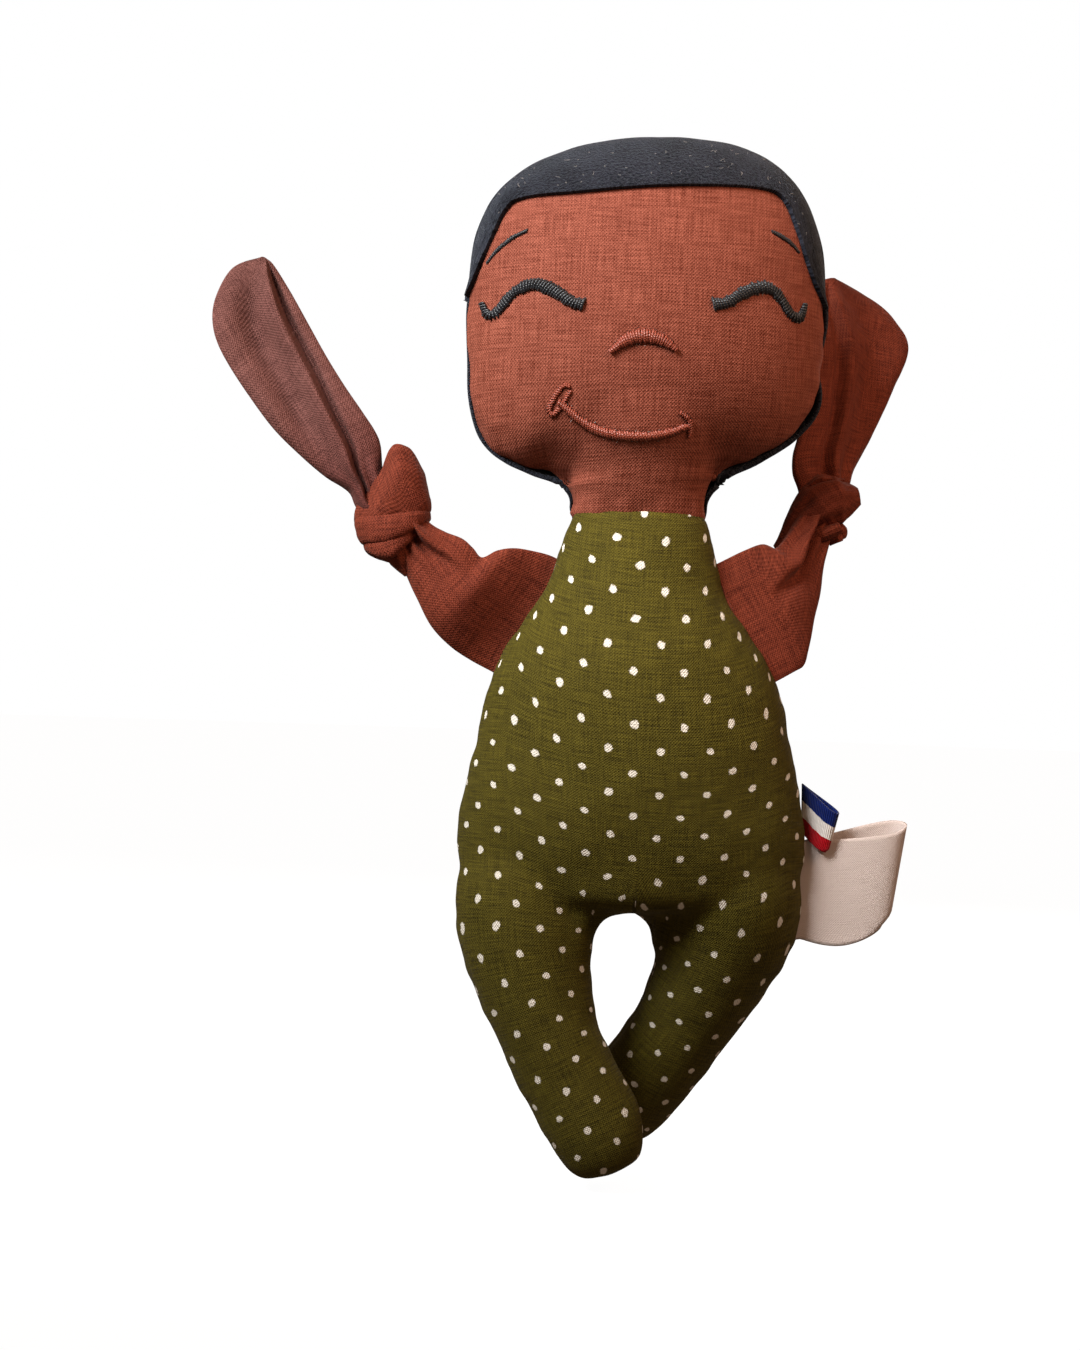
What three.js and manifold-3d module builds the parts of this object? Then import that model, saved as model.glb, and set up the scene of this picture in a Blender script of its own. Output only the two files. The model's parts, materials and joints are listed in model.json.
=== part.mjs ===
// A soft cloth doll: stuffed head, body and crossed legs, and flat cloth arms tied in knots.
// Millimetres. +Z runs up through the head, the face looks along -Y, and +X is the doll's left.
// The origin is inside the belly, where a hand holds the doll.

import * as THREE from "three";
import { mergeVertices } from "three/addons/utils/BufferGeometryUtils.js";
import Module from "manifold-3d";

const wasm = await Module();
wasm.setup();

// Cloth, felt and clearances
const CLOTH = 0.8;
const FELT = 1.4;
const GAP = 0.3;

// Head, from the neck seam up
const NECK_SEAM_Z = 60;
const NECK_WIDTH = 29;
const NECK_DEPTH = 15;
const NECK_LENGTH = 8;
const NECK_HINGE_RADIUS = 11;
const HEAD_WIDTH = 76;
const HEAD_HEIGHT = 72;
const HEAD_DEPTH = 40;

// Body, from the neck seam down to the crotch
const CHEST_WIDTH = 60;
const CHEST_DEPTH = 33;
const CHEST_Z = 26;
const BELLY_WIDTH = 73;
const BELLY_DEPTH = 36;
const BELLY_Z = -7;
const CROTCH_Z = -26;
const BACK_FLAT = 0.5;

// Legs, cut in one with the body and creased at the hip
const HIP_Z = -15;
const HIP_HINGE_RADIUS = 18;
const THIGH_WIDTH = 28.5;
const THIGH_DEPTH = 25;
const SHIN_WIDTH = 21.6;
const SHIN_DEPTH = 19.4;
const FOOT_WIDTH = 20.5;
const FOOT_DEPTH = 17.5;
const LEG_LENGTH = 63.5;
const RIGHT_TOE_SPREAD = 3.5;
const LEFT_TOE_SPREAD = -0.3;
const RIGHT_LEG_FORWARD = 10;
const LEFT_LEG_BACK = 20;

// Arms, cloth tubes sewn flat into the side seams and tied in a knot
const ARM_TOP_Z = 51.5;
const ARM_BOTTOM_Z = 25.5;
const ARM_SEAM = 1.6;
const ARM_WIDTH = 13;
const ARM_DEPTH = 9.5;
const KNOT_LENGTH = 22;
const KNOT_WIDTH = 16;
const KNOT_DEPTH = 14;
const KNOT_WRAP = 6;
const KNOT_TILT = 28;
const HAND_DEPTH = 5;
const HAND_NECK = 9.5;
const HAND_SEAM = 3.2;
const HAND_FOLD = 0.6;
const FOLD_PLACE = 0.15;
const FOLD_SPREAD = 0.22;
const RIGHT_ARM = { lean: 0, out: 34, up: 8.5, knotTurn: 60, handWidth: 19.5, handLength: 46, handTurn: 29 };
const LEFT_ARM = { lean: 40, out: 29, up: 13.5, knotTurn: 60, handWidth: 25, handLength: 48, handTurn: 46 };

// Stitched face
const THREAD = 0.9;
const EYE_STITCH = 2.1;
const BROW_STITCH = 0.8;
const NOSE_STITCH = 2.3;
const MOUTH_STITCH = 1.4;

// Folded tabs in the left side seam
const RIBBON_TOP_Z = 4.4;
const RIBBON_HEIGHT = 10.4;
const RIBBON_LENGTH = 7.2;
const RIBBON_OPEN = 2.6;
const RIBBON_FORWARD = 35;
const RIBBON_DROOP = 0.7;
const LABEL_TOP_Z = -8.5;
const LABEL_HEIGHT = 20;
const LABEL_LENGTH = 21.5;
const LABEL_OPEN = 4;
const LABEL_RISE = 0.18;
const TAB_CLOTH = 0.5;

// Smoothness of the stuffed forms
const SIDES = 20;
const ROLLER_SIDES = 32;
const EGG_STEPS = 12;
const BODY_STEPS = 11;
const LEG_STEPS = 9;
const ARM_STEPS = 8;
const SEAM_STEPS = 8;
const HAND_STEPS = 10;
const STITCH_STEPS = 10;
const STITCH_SIDES = 6;
const PILLOW = 1.2;
const CUTTER = 400;

const SIDE = { right: -1, left: 1 };
const X = new THREE.Vector3(1, 0, 0);
const Y = new THREE.Vector3(0, 1, 0);
const Z = new THREE.Vector3(0, 0, 1);
const rad = THREE.MathUtils.degToRad;
const vec = (x, y, z) => new THREE.Vector3(x, y, z);

// Materials

const cloth = (color, roughness) => new THREE.MeshStandardMaterial({ color, roughness, metalness: 0 });
const RUST_LINEN = cloth(0xac5c45, 0.9);
const RUST_COTTON = cloth(0x92483a, 0.85);
const BLACK_FELT = cloth(0x3a3c47, 1);
const GREEN_COTTON = cloth(0x7b6f31, 0.9);
const FIBRE_FILL = cloth(0xf0eee8, 1);
const BLACK_THREAD = cloth(0x2a292f, 0.6);
const RUST_THREAD = cloth(0x86382c, 0.6);
const WHITE_SATIN = cloth(0xd8c8bd, 0.6);
const TRICOLOUR = cloth(0xf2f0ee, 0.6);

// Solids from closed skins

function bare(geometry) {
  geometry.deleteAttribute("normal");
  geometry.deleteAttribute("uv");
  return mergeVertices(geometry, 1e-4);
}

function solid(geometry) {
  const merged = bare(geometry);
  const corners = merged.getIndex().array;
  const triVerts = [];
  for (let i = 0; i < corners.length; i += 3) {
    const [a, b, c] = corners.slice(i, i + 3);
    if (a !== b && b !== c && c !== a) triVerts.push(a, b, c);
  }
  const vertProperties = merged.getAttribute("position").array;
  return new wasm.Manifold(
    new wasm.Mesh({ numProp: 3, vertProperties, triVerts: new Uint32Array(triVerts) }),
  );
}

function piece(name, body, material) {
  const { vertProperties, triVerts } = body.getMesh();
  const geometry = new THREE.BufferGeometry();
  geometry.setAttribute("position", new THREE.BufferAttribute(vertProperties, 3));
  geometry.setIndex(new THREE.BufferAttribute(triVerts, 1));
  geometry.computeVertexNormals();
  const mesh = new THREE.Mesh(geometry, material.clone());
  mesh.name = name;
  return mesh;
}

// One cross section of a stuffed form, wider than deep, with its edge in the seam plane.
function section(centre, tangent, through, halfWidth, halfDepth) {
  const across = through.clone().cross(tangent).normalize();
  return { centre, across, through, halfWidth, halfDepth };
}

function ring({ centre, across, through, halfWidth, halfDepth, fold = 0 }, sides) {
  return Array.from({ length: sides }, (_, i) => {
    const angle = (2 * Math.PI * i) / sides;
    const wide = Math.cos(angle);
    const deep = Math.sin(angle);
    const crease = deep > 0 ? 1 - fold * Math.exp(-(((wide - FOLD_PLACE) / FOLD_SPREAD) ** 2)) : 1;
    const rise = Math.sign(deep) * Math.abs(deep) ** PILLOW * crease;
    return centre
      .clone()
      .addScaledVector(across, halfWidth * wide)
      .addScaledVector(through, halfDepth * rise);
  });
}

// A closed skin through a row of sections, with both ends closed to their middles.
function skin(sections, sides = SIDES) {
  const points = sections.flatMap((each) => ring(each, sides));
  const start = points.push(sections[0].centre) - 1;
  const end = points.push(sections.at(-1).centre) - 1;
  const last = (sections.length - 1) * sides;
  const faces = [];
  for (let j = 0; j < sides; j++) {
    const next = (j + 1) % sides;
    faces.push(start, next, j, end, last + j, last + next);
    for (let row = 0; row < last; row += sides) {
      faces.push(row + j, row + next, row + next + sides);
      faces.push(row + j, row + next + sides, row + j + sides);
    }
  }
  const geometry = new THREE.BufferGeometry().setFromPoints(points);
  geometry.setIndex(faces);
  return geometry;
}

// The same skin moved out by a distance along its own normals, or in if the distance is negative.
function swollen(sections, distance) {
  const geometry = bare(skin(sections));
  geometry.computeVertexNormals();
  const points = geometry.getAttribute("position");
  const normals = geometry.getAttribute("normal");
  for (let i = 0; i < points.count; i++) {
    const point = new THREE.Vector3().fromBufferAttribute(points, i);
    const normal = new THREE.Vector3().fromBufferAttribute(normals, i);
    points.setXYZ(i, ...point.addScaledVector(normal, distance));
  }
  return solid(geometry);
}

function slab(low, high) {
  const size = high.clone().sub(low);
  const middle = low.clone().lerp(high, 0.5);
  return solid(new THREE.BoxGeometry(...size).translate(...middle));
}

function roller(radius, z) {
  const geometry = new THREE.CylinderGeometry(radius, radius, CUTTER, ROLLER_SIDES);
  return solid(geometry.rotateZ(Math.PI / 2).translate(0, 0, z));
}

const FRONT = slab(vec(-CUTTER, -CUTTER, -CUTTER), vec(CUTTER, -GAP / 2, CUTTER));
const BACK = slab(vec(-CUTTER, GAP / 2, -CUTTER), vec(CUTTER, CUTTER, CUTTER));
const above = (z) => slab(vec(-CUTTER, -CUTTER, z), vec(CUTTER, CUTTER, CUTTER));
const below = (z) => slab(vec(-CUTTER, -CUTTER, -CUTTER), vec(CUTTER, CUTTER, z));

// A panel keeps the cloth's thickness of a form, and its filling the room inside that.
const panel = (form, outside = 0) => form(outside).subtract(form(-CLOTH));
const filling = (form) => form(-CLOTH - GAP);

// Head: an egg, fuller at the chin than at the crown, on a short neck

const HEAD_MIDDLE_Z = NECK_SEAM_Z + NECK_LENGTH + HEAD_HEIGHT / 2;
const CHIN_FULLNESS = 3.5;
const CROWN_FULLNESS = 2.6;
const DEPTH_FULLNESS = 2.2;

function headAt(z) {
  const height = Math.min(1, Math.abs(z - HEAD_MIDDLE_Z) / (HEAD_HEIGHT / 2));
  const fullness = z < HEAD_MIDDLE_Z ? CHIN_FULLNESS : CROWN_FULLNESS;
  const halfWidth = (HEAD_WIDTH / 2) * (1 - height ** fullness) ** (1 / fullness);
  const halfDepth = (HEAD_DEPTH / 2) * (1 - height ** DEPTH_FULLNESS) ** (1 / DEPTH_FULLNESS);
  return { halfWidth, halfDepth };
}

const headSections = Array.from({ length: EGG_STEPS + 1 }, (_, i) => {
  const z = HEAD_MIDDLE_Z - (HEAD_HEIGHT / 2) * Math.cos((Math.PI * i) / EGG_STEPS);
  const { halfWidth, halfDepth } = headAt(z);
  return section(vec(0, 0, z), Z, Y, halfWidth, halfDepth);
});

const neckSections = [-NECK_HINGE_RADIUS / 2, NECK_LENGTH / 2, 2 * NECK_LENGTH].map((rise) =>
  section(vec(0, 0, NECK_SEAM_Z + rise), Z, Y, NECK_WIDTH / 2, NECK_DEPTH / 2),
);

// The neck turns on a roller whose lip stands at the neck seam.
const NECK_AXIS_Z = NECK_SEAM_Z - Math.sqrt(NECK_HINGE_RADIUS ** 2 - (NECK_DEPTH / 2) ** 2);
const neckCup = roller(NECK_HINGE_RADIUS + GAP, NECK_AXIS_Z);
const headForm = (distance) => swollen(headSections, distance).add(swollen(neckSections, distance));

// The hairline crosses the brow and drops down both temples: shares of the head's half width and height.
const HAIRLINE = [
  [-1.02, 0.5],
  [-0.974, 0.54],
  [-0.89, 0.643],
  [-0.798, 0.749],
  [-0.7, 0.781],
  [-0.4, 0.79],
  [0, 0.806],
  [0.4, 0.815],
  [0.62, 0.814],
  [0.715, 0.785],
  [0.79, 0.71],
  [0.873, 0.607],
  [0.955, 0.535],
  [1.02, 0.5],
];
const HAIR_STEPS = 3;

function hairRegion(drop) {
  const outline = HAIRLINE.map(([wide, high]) => {
    const z = HEAD_MIDDLE_Z + (high - 0.5) * HEAD_HEIGHT - drop;
    return new THREE.Vector2((wide * HEAD_WIDTH) / 2, z);
  });
  const side = HEAD_WIDTH;
  const top = HEAD_MIDDLE_Z + HEAD_HEIGHT;
  const shape = new THREE.Shape();
  shape.moveTo(-side, outline[0].y);
  shape.lineTo(...outline[0]);
  shape.splineThru(outline.slice(1));
  shape.lineTo(side, outline[0].y);
  shape.lineTo(side, top);
  shape.lineTo(-side, top);
  shape.closePath();
  const options = { depth: HEAD_DEPTH, bevelEnabled: false, curveSegments: HAIR_STEPS };
  return solid(new THREE.ExtrudeGeometry(shape, options).rotateX(Math.PI / 2));
}

function head() {
  const felt = panel(headForm, FELT - CLOTH).subtract(neckCup);
  const face = panel(headForm).subtract(neckCup).intersect(FRONT).subtract(hairRegion(GAP));
  return [
    piece("face_panel", face, RUST_LINEN),
    piece("hair_front", felt.intersect(FRONT).intersect(hairRegion(0)), BLACK_FELT),
    piece("hair_back", felt.intersect(BACK), BLACK_FELT),
    piece("head_stuffing", filling(headForm).subtract(neckCup), FIBRE_FILL),
  ];
}

// Face stitching, in shares of the head's half width and height

const RIGHT_EYE = [[-0.374, 0.463], [-0.43, 0.469], [-0.526, 0.501], [-0.635, 0.523], [-0.742, 0.504],
  [-0.79, 0.478], [-0.848, 0.445], [-0.89, 0.447], [-0.918, 0.479]];
const LEFT_EYE = [[0.326, 0.475], [0.4, 0.483], [0.493, 0.516], [0.603, 0.536], [0.68, 0.519],
  [0.75, 0.477], [0.79, 0.462], [0.83, 0.467], [0.855, 0.503]];
const RIGHT_BROW = [[-0.689, 0.679], [-0.77, 0.66], [-0.85, 0.628], [-0.9, 0.597]];
const LEFT_BROW = [[0.64, 0.699], [0.72, 0.683], [0.77, 0.668], [0.805, 0.652]];
const NOSE = [[-0.216, 0.334], [-0.13, 0.366], [-0.038, 0.378], [0.06, 0.367], [0.13, 0.343]];
const SMILE = [[-0.478, 0.205], [-0.34, 0.148], [-0.21, 0.117], [-0.04, 0.103], [0.1, 0.108], [0.211, 0.127]];
const RIGHT_DIMPLE = [[-0.438, 0.237], [-0.48, 0.213], [-0.514, 0.184]];
const LEFT_DIMPLE = [[0.175, 0.164], [0.225, 0.14], [0.228, 0.1]];

function onFace(wide, high) {
  const z = HEAD_MIDDLE_Z + (high - 0.5) * HEAD_HEIGHT;
  const { halfWidth, halfDepth } = headAt(z);
  const x = (wide * HEAD_WIDTH) / 2;
  const deep = (1 - (x / halfWidth) ** 2) ** (PILLOW / 2);
  return vec(x, -halfDepth * deep, z);
}

function faceNormal(wide, high) {
  const step = 0.01;
  const sideways = onFace(wide + step, high).sub(onFace(wide - step, high));
  const upwards = onFace(wide, high + step).sub(onFace(wide, high - step));
  return sideways.cross(upwards).normalize();
}

// A raised row of satin stitch that follows the face, full in the middle and drawn in at its ends.
function stitch(points, width) {
  const path = new THREE.CatmullRomCurve3(points.map(([wide, high]) => vec(wide, high, 0)));
  const places = path.getSpacedPoints(STITCH_STEPS);
  const normals = places.map(({ x, y }) => faceNormal(x, y));
  const centres = places.map(({ x, y }, i) =>
    onFace(x, y).addScaledVector(normals[i], GAP + THREAD / 2),
  );
  const curve = new THREE.CatmullRomCurve3(centres);
  const sections = centres.map((centre, i) => {
    const share = i / STITCH_STEPS;
    const taper = Math.sqrt(Math.sin(Math.PI * (0.06 + 0.88 * share)));
    const tangent = curve.getTangent(share);
    return section(centre, tangent, normals[i], (width / 2) * taper, THREAD / 2);
  });
  return solid(skin(sections, STITCH_SIDES));
}

function stitchedFace() {
  const dimples = stitch(RIGHT_DIMPLE, MOUTH_STITCH).add(stitch(LEFT_DIMPLE, MOUTH_STITCH));
  return [
    piece("right_eye", stitch(RIGHT_EYE, EYE_STITCH), BLACK_THREAD),
    piece("left_eye", stitch(LEFT_EYE, EYE_STITCH), BLACK_THREAD),
    piece("right_brow", stitch(RIGHT_BROW, BROW_STITCH), BLACK_THREAD),
    piece("left_brow", stitch(LEFT_BROW, BROW_STITCH), BLACK_THREAD),
    piece("nose", stitch(NOSE, NOSE_STITCH), RUST_THREAD),
    piece("mouth", stitch(SMILE, MOUTH_STITCH).add(dimples), RUST_THREAD),
  ];
}

// Body and legs: one pear-shaped trunk, joined at the hips by the tops of both legs

const BELLY_DROP = BELLY_Z - CROTCH_Z;
const bodyProfile = new THREE.CatmullRomCurve3([
  vec(NECK_WIDTH / 2, NECK_DEPTH / 2, NECK_SEAM_Z + NECK_LENGTH / 2),
  vec(NECK_WIDTH / 2, NECK_DEPTH / 2 + CLOTH, NECK_SEAM_Z),
  vec((NECK_WIDTH + CHEST_WIDTH) / 4, (NECK_DEPTH + CHEST_DEPTH) / 4, (NECK_SEAM_Z + CHEST_Z) / 2),
  vec(CHEST_WIDTH / 2, CHEST_DEPTH / 2, CHEST_Z),
  vec(BELLY_WIDTH / 2, BELLY_DEPTH / 2, BELLY_Z),
  vec(BELLY_WIDTH * 0.48, BELLY_DEPTH * 0.43, BELLY_Z - 0.5 * BELLY_DROP),
  vec(BELLY_WIDTH * 0.38, BELLY_DEPTH * 0.29, BELLY_Z - 0.84 * BELLY_DROP),
  vec(BELLY_WIDTH * 0.18, BELLY_DEPTH * 0.13, BELLY_Z - 0.97 * BELLY_DROP),
  vec(0, 0, CROTCH_Z),
]);

const bodySections = bodyProfile
  .getSpacedPoints(BODY_STEPS)
  .reverse()
  .map(({ x, y, z }) => section(vec(0, 0, z), Z, Y, x, y));

// A point on the side seam of the body at a height, found by halving the profile's upper stretch.
function sideSeam(side, z) {
  let low = 0;
  let high = 1;
  for (let i = 0; i < 30; i++) {
    const middle = (low + high) / 2;
    if (bodyProfile.getPointAt(middle).z > z) low = middle;
    else high = middle;
  }
  return vec(side * bodyProfile.getPointAt(low).x, 0, z);
}

// The outer edge of the thigh runs on from the side of the belly.
const LEG_SPREAD = (BELLY_WIDTH - THIGH_WIDTH) / 2 - CLOTH / 2;
const TOE_Z = HIP_Z - LEG_LENGTH;
const legAt = (share) => HIP_Z - LEG_LENGTH * share;

function legSections(side, toeSpread) {
  const spine = new THREE.CatmullRomCurve3([
    vec(side * LEG_SPREAD, 0, HIP_Z + HIP_HINGE_RADIUS / 2),
    vec(side * LEG_SPREAD, 0, legAt(0.18)),
    vec(side * (LEG_SPREAD + toeSpread) * 0.65, 0, legAt(0.53)),
    vec(side * (toeSpread + LEG_SPREAD * 0.16), 0, legAt(0.83)),
    vec(side * toeSpread, 0, TOE_Z),
  ]);
  const girth = new THREE.CatmullRomCurve3([
    vec(THIGH_WIDTH / 2, (THIGH_DEPTH / 2) * 1.05, 0),
    vec(THIGH_WIDTH / 2, THIGH_DEPTH / 2, 0.28),
    vec(SHIN_WIDTH / 2, SHIN_DEPTH / 2, 0.58),
    vec(FOOT_WIDTH / 2, FOOT_DEPTH / 2, 0.84),
    vec((FOOT_WIDTH / 2) * 0.84, (FOOT_DEPTH / 2) * 0.84, 0.94),
    vec((FOOT_WIDTH / 2) * 0.5, (FOOT_DEPTH / 2) * 0.5, 0.99),
    vec(0, 0, 1),
  ]);
  return Array.from({ length: LEG_STEPS + 1 }, (_, i) => {
    const { x, y, z } = girth.getPoint(i / LEG_STEPS);
    const share = Math.min(1, z);
    return section(spine.getPointAt(share), spine.getTangentAt(share), Y, x, y);
  });
}

const thighs = {
  right: legSections(SIDE.right, RIGHT_TOE_SPREAD),
  left: legSections(SIDE.left, LEFT_TOE_SPREAD),
};
const hipRoller = roller(HIP_HINGE_RADIUS, HIP_Z).add(above(HIP_Z));
const neckRoller = roller(NECK_HINGE_RADIUS, NECK_AXIS_Z).add(below(NECK_AXIS_Z));
const bodyRoom = hipRoller.intersect(neckRoller);
const hipCup = roller(HIP_HINGE_RADIUS + GAP, HIP_Z);
const deepest = Math.max(...bodySections.map(({ halfDepth }) => halfDepth));
const backFlat = slab(vec(-CUTTER, deepest - BACK_FLAT, -CUTTER), vec(CUTTER, CUTTER, CUTTER));

const bodyForm = (distance) =>
  swollen(bodySections, distance)
    .add(swollen(thighs.right, distance))
    .add(swollen(thighs.left, distance));

function body() {
  const cover = panel(bodyForm).intersect(bodyRoom);
  return [
    piece("torso_front", cover.intersect(FRONT), GREEN_COTTON),
    piece("torso_back", cover.intersect(BACK).subtract(backFlat), GREEN_COTTON),
    piece("torso_stuffing", filling(bodyForm).intersect(bodyRoom), FIBRE_FILL),
  ];
}

function leg(name, thigh) {
  const legForm = (distance) => swollen(thigh, distance);
  const cover = panel(legForm).subtract(hipCup);
  return [
    piece(`${name}_front`, cover.intersect(FRONT), GREEN_COTTON),
    piece(`${name}_back`, cover.intersect(BACK), GREEN_COTTON),
    piece(`${name}_stuffing`, filling(legForm).subtract(hipCup), FIBRE_FILL),
  ];
}

// Arms: each leaves its seam flat, swells, and narrows into a knot with the hand flap beyond it

function shoulder(side, lean) {
  const top = sideSeam(side, ARM_TOP_Z);
  const bottom = sideSeam(side, ARM_BOTTOM_Z);
  const along = top.clone().sub(bottom).normalize();
  const level = Y.clone().cross(along).multiplyScalar(side);
  const bulge = Array.from({ length: SEAM_STEPS + 1 }, (_, i) => {
    const z = THREE.MathUtils.lerp(ARM_BOTTOM_Z, ARM_TOP_Z, i / SEAM_STEPS);
    return sideSeam(side, z).sub(bottom).dot(level);
  });
  const clear = Math.max(...bulge) + GAP + ARM_SEAM / 2;
  const base = top.clone().lerp(bottom, 0.5).addScaledVector(level, clear);
  const out = level.clone().applyAxisAngle(along, side * rad(lean));
  const front = out.clone().cross(along).multiplyScalar(side);
  const place = (outward, upward) =>
    base.clone().addScaledVector(out, outward).addScaledVector(along, upward);
  return { top, bottom, base, along, out, front, place };
}

function knotSolid(centre, axis, front, grow) {
  const turn = new THREE.Matrix4().makeBasis(axis, front.clone().cross(axis), front);
  turn.setPosition(centre);
  const core = new THREE.SphereGeometry(1, 14, 8).rotateX(Math.PI / 2);
  core.scale(KNOT_LENGTH / 2 + grow, KNOT_WIDTH / 2 - 1 + grow, KNOT_DEPTH / 2 - 1 + grow);
  let knot = solid(core.applyMatrix4(turn));
  for (const along of [-KNOT_WRAP / 2, KNOT_WRAP / 2]) {
    const wrap = new THREE.TorusGeometry((KNOT_WIDTH - KNOT_WRAP) / 2, KNOT_WRAP / 2 + grow, 8, 14);
    wrap.scale(1, KNOT_DEPTH / KNOT_WIDTH, 1).rotateX(Math.PI / 2);
    wrap.rotateZ(Math.PI / 2 + rad(KNOT_TILT)).translate(along, 0, 0);
    knot = knot.add(solid(wrap.applyMatrix4(turn)));
  }
  return knot;
}

// The hem of a flap, rounded about the line that it bends on.
function roundedEnd(centre, heading, front, halfWidth, radius) {
  return [0.05, 0.6].map((share) => {
    const back = -radius * Math.sqrt(1 - share * share);
    const place = centre.clone().addScaledVector(heading, back);
    return section(place, heading, front, halfWidth, radius * share);
  });
}

function arm(name, handName, side, pose) {
  const frame = shoulder(side, pose.lean);
  const { base, front, place } = frame;
  const knotCentre = place(pose.out, pose.up);
  const spine = new THREE.QuadraticBezierCurve3(base, place(pose.out / 2, 0), knotCentre);
  const heading = (degrees) => place(Math.cos(rad(degrees)), Math.sin(rad(degrees))).sub(base);
  const axis = heading(pose.knotTurn);
  const seamLength = frame.top.distanceTo(frame.bottom);
  const girth = new THREE.CatmullRomCurve3([
    vec(seamLength / 2, ARM_SEAM / 2, 0),
    vec((seamLength * 2 + ARM_WIDTH) / 6, ARM_DEPTH / 3, 0.25),
    vec((seamLength + ARM_WIDTH * 2) / 6, ARM_DEPTH / 2, 0.6),
    vec(ARM_WIDTH / 2, ARM_DEPTH / 2, 1),
  ]);
  const sections = girth
    .getSpacedPoints(ARM_STEPS)
    .map(({ x, y, z }) => section(spine.getPointAt(z), spine.getTangentAt(z), front, x, y));
  const hem = roundedEnd(base, frame.out, front, seamLength / 2, ARM_SEAM / 2);
  const knotRoom = knotSolid(knotCentre, axis, front, GAP);
  const sleeve = solid(skin([...hem, ...sections])).subtract(knotRoom);

  const reach = heading(pose.handTurn);
  const slant = rad(pose.knotTurn - pose.handTurn);
  const knotReach = Math.hypot((KNOT_LENGTH / 2) * Math.cos(slant), (KNOT_WIDTH / 2) * Math.sin(slant));
  const wrist = knotCentre.clone().addScaledVector(reach, knotReach + GAP + HAND_SEAM / 2);
  const tip = wrist.clone().addScaledVector(reach, pose.handLength);
  const palm = new THREE.LineCurve3(wrist, tip);
  const spread = new THREE.CatmullRomCurve3([
    vec(HAND_NECK / 2, HAND_SEAM / 2, 0),
    vec((HAND_NECK + pose.handWidth) / 4, HAND_DEPTH / 2, 0.2),
    vec(pose.handWidth / 2, HAND_DEPTH / 2, 0.55),
    vec((pose.handWidth / 2) * 0.95, (HAND_DEPTH / 2) * 0.9, 0.82),
    vec((pose.handWidth / 2) * 0.6, (HAND_DEPTH / 2) * 0.6, 0.96),
    vec(0, 0, 1),
  ]);
  const handSections = Array.from({ length: HAND_STEPS + 1 }, (_, i) => {
    const { x, y, z } = spread.getPoint(i / HAND_STEPS);
    const share = Math.min(1, z);
    const fold = HAND_FOLD * Math.sin(Math.PI * share);
    return { ...section(palm.getPointAt(share), palm.getTangentAt(share), front, x, y), fold };
  });
  const cuff = roundedEnd(wrist, reach, front, HAND_NECK / 2, HAND_SEAM / 2);
  const hand = hinge(`${handName}_bend`, wrist, reach.clone().cross(front));
  hand.add(piece(handName, solid(skin([...cuff, ...handSections])), RUST_COTTON));
  return hinge(`${name}_swing`, base, frame.along).add(
    piece(name, sleeve, RUST_COTTON),
    piece(`${name}_knot`, knotSolid(knotCentre, axis, front, 0), RUST_COTTON),
    hand,
  );
}

// Tabs: a strip folded in half, its ends in the seam and its fold standing open

function tab(length, height, open, rise) {
  const fold = open / 2;
  const reach = length - fold;
  const inner = fold - TAB_CLOTH;
  const start = TAB_CLOTH * 4;
  const outline = new THREE.Shape();
  outline.absarc(0, 0, TAB_CLOTH, Math.PI / 2, (3 * Math.PI) / 2, false);
  outline.absarc(reach, 0, fold, -Math.PI / 2, Math.PI / 2, false);
  outline.closePath();
  const hole = new THREE.Path();
  hole.moveTo(start, 0);
  hole.absarc(reach, 0, inner, Math.PI / 2, -Math.PI / 2, true);
  hole.closePath();
  outline.holes.push(hole);
  const strip = new THREE.ExtrudeGeometry(outline, { depth: height, bevelEnabled: false, curveSegments: 10 });
  return strip.applyMatrix4(new THREE.Matrix4().makeShear(0, rise, 0, 0, 0, 0));
}

const TAB_SEAM_X = BELLY_WIDTH / 2 + GAP + TAB_CLOTH;

function tabs() {
  const ribbon = tab(RIBBON_LENGTH, RIBBON_HEIGHT, RIBBON_OPEN, -RIBBON_DROOP);
  ribbon.rotateZ(-rad(RIBBON_FORWARD)).translate(TAB_SEAM_X, 0, RIBBON_TOP_Z - RIBBON_HEIGHT);
  const label = tab(LABEL_LENGTH, LABEL_HEIGHT, LABEL_OPEN, LABEL_RISE);
  label.translate(TAB_SEAM_X, 0, LABEL_TOP_Z - LABEL_HEIGHT);
  return [
    hinge("ribbon_flap", vec(TAB_SEAM_X, 0, RIBBON_TOP_Z), Z).add(
      piece("ribbon_loop", solid(ribbon), TRICOLOUR),
    ),
    hinge("label_flap", vec(TAB_SEAM_X, 0, LABEL_TOP_Z), Z).add(
      piece("label_loop", solid(label), WHITE_SATIN),
    ),
  ];
}

// Assembly: each group turns about its own origin, along the axis it carries

function hinge(name, point, axis) {
  const group = new THREE.Group();
  group.name = name;
  group.position.copy(point);
  group.userData.axis = axis.clone().normalize().toArray();
  group.userData.place = point.toArray();
  return group;
}

// Pieces are drawn where they lie, so a group takes its own place back out of what it holds.
function settle(group) {
  for (const child of group.children) {
    child.position.sub(vec(...group.userData.place));
    if (child.isGroup) settle(child);
  }
  return group;
}

const neck = hinge("neck_nod", vec(0, 0, NECK_AXIS_Z), X).add(...head(), ...stitchedFace());
const rightLeg = hinge("right_leg_swing", vec(0, 0, HIP_Z), X).add(...leg("right_leg", thighs.right));
const leftLeg = hinge("left_leg_swing", vec(0, 0, HIP_Z), X).add(...leg("left_leg", thighs.left));
const rightArm = arm("right_arm", "right_hand", SIDE.right, RIGHT_ARM);
const leftArm = arm("left_arm", "left_hand", SIDE.left, LEFT_ARM);
rightLeg.rotation.x = -rad(RIGHT_LEG_FORWARD);
leftLeg.rotation.x = rad(LEFT_LEG_BACK);

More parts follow.
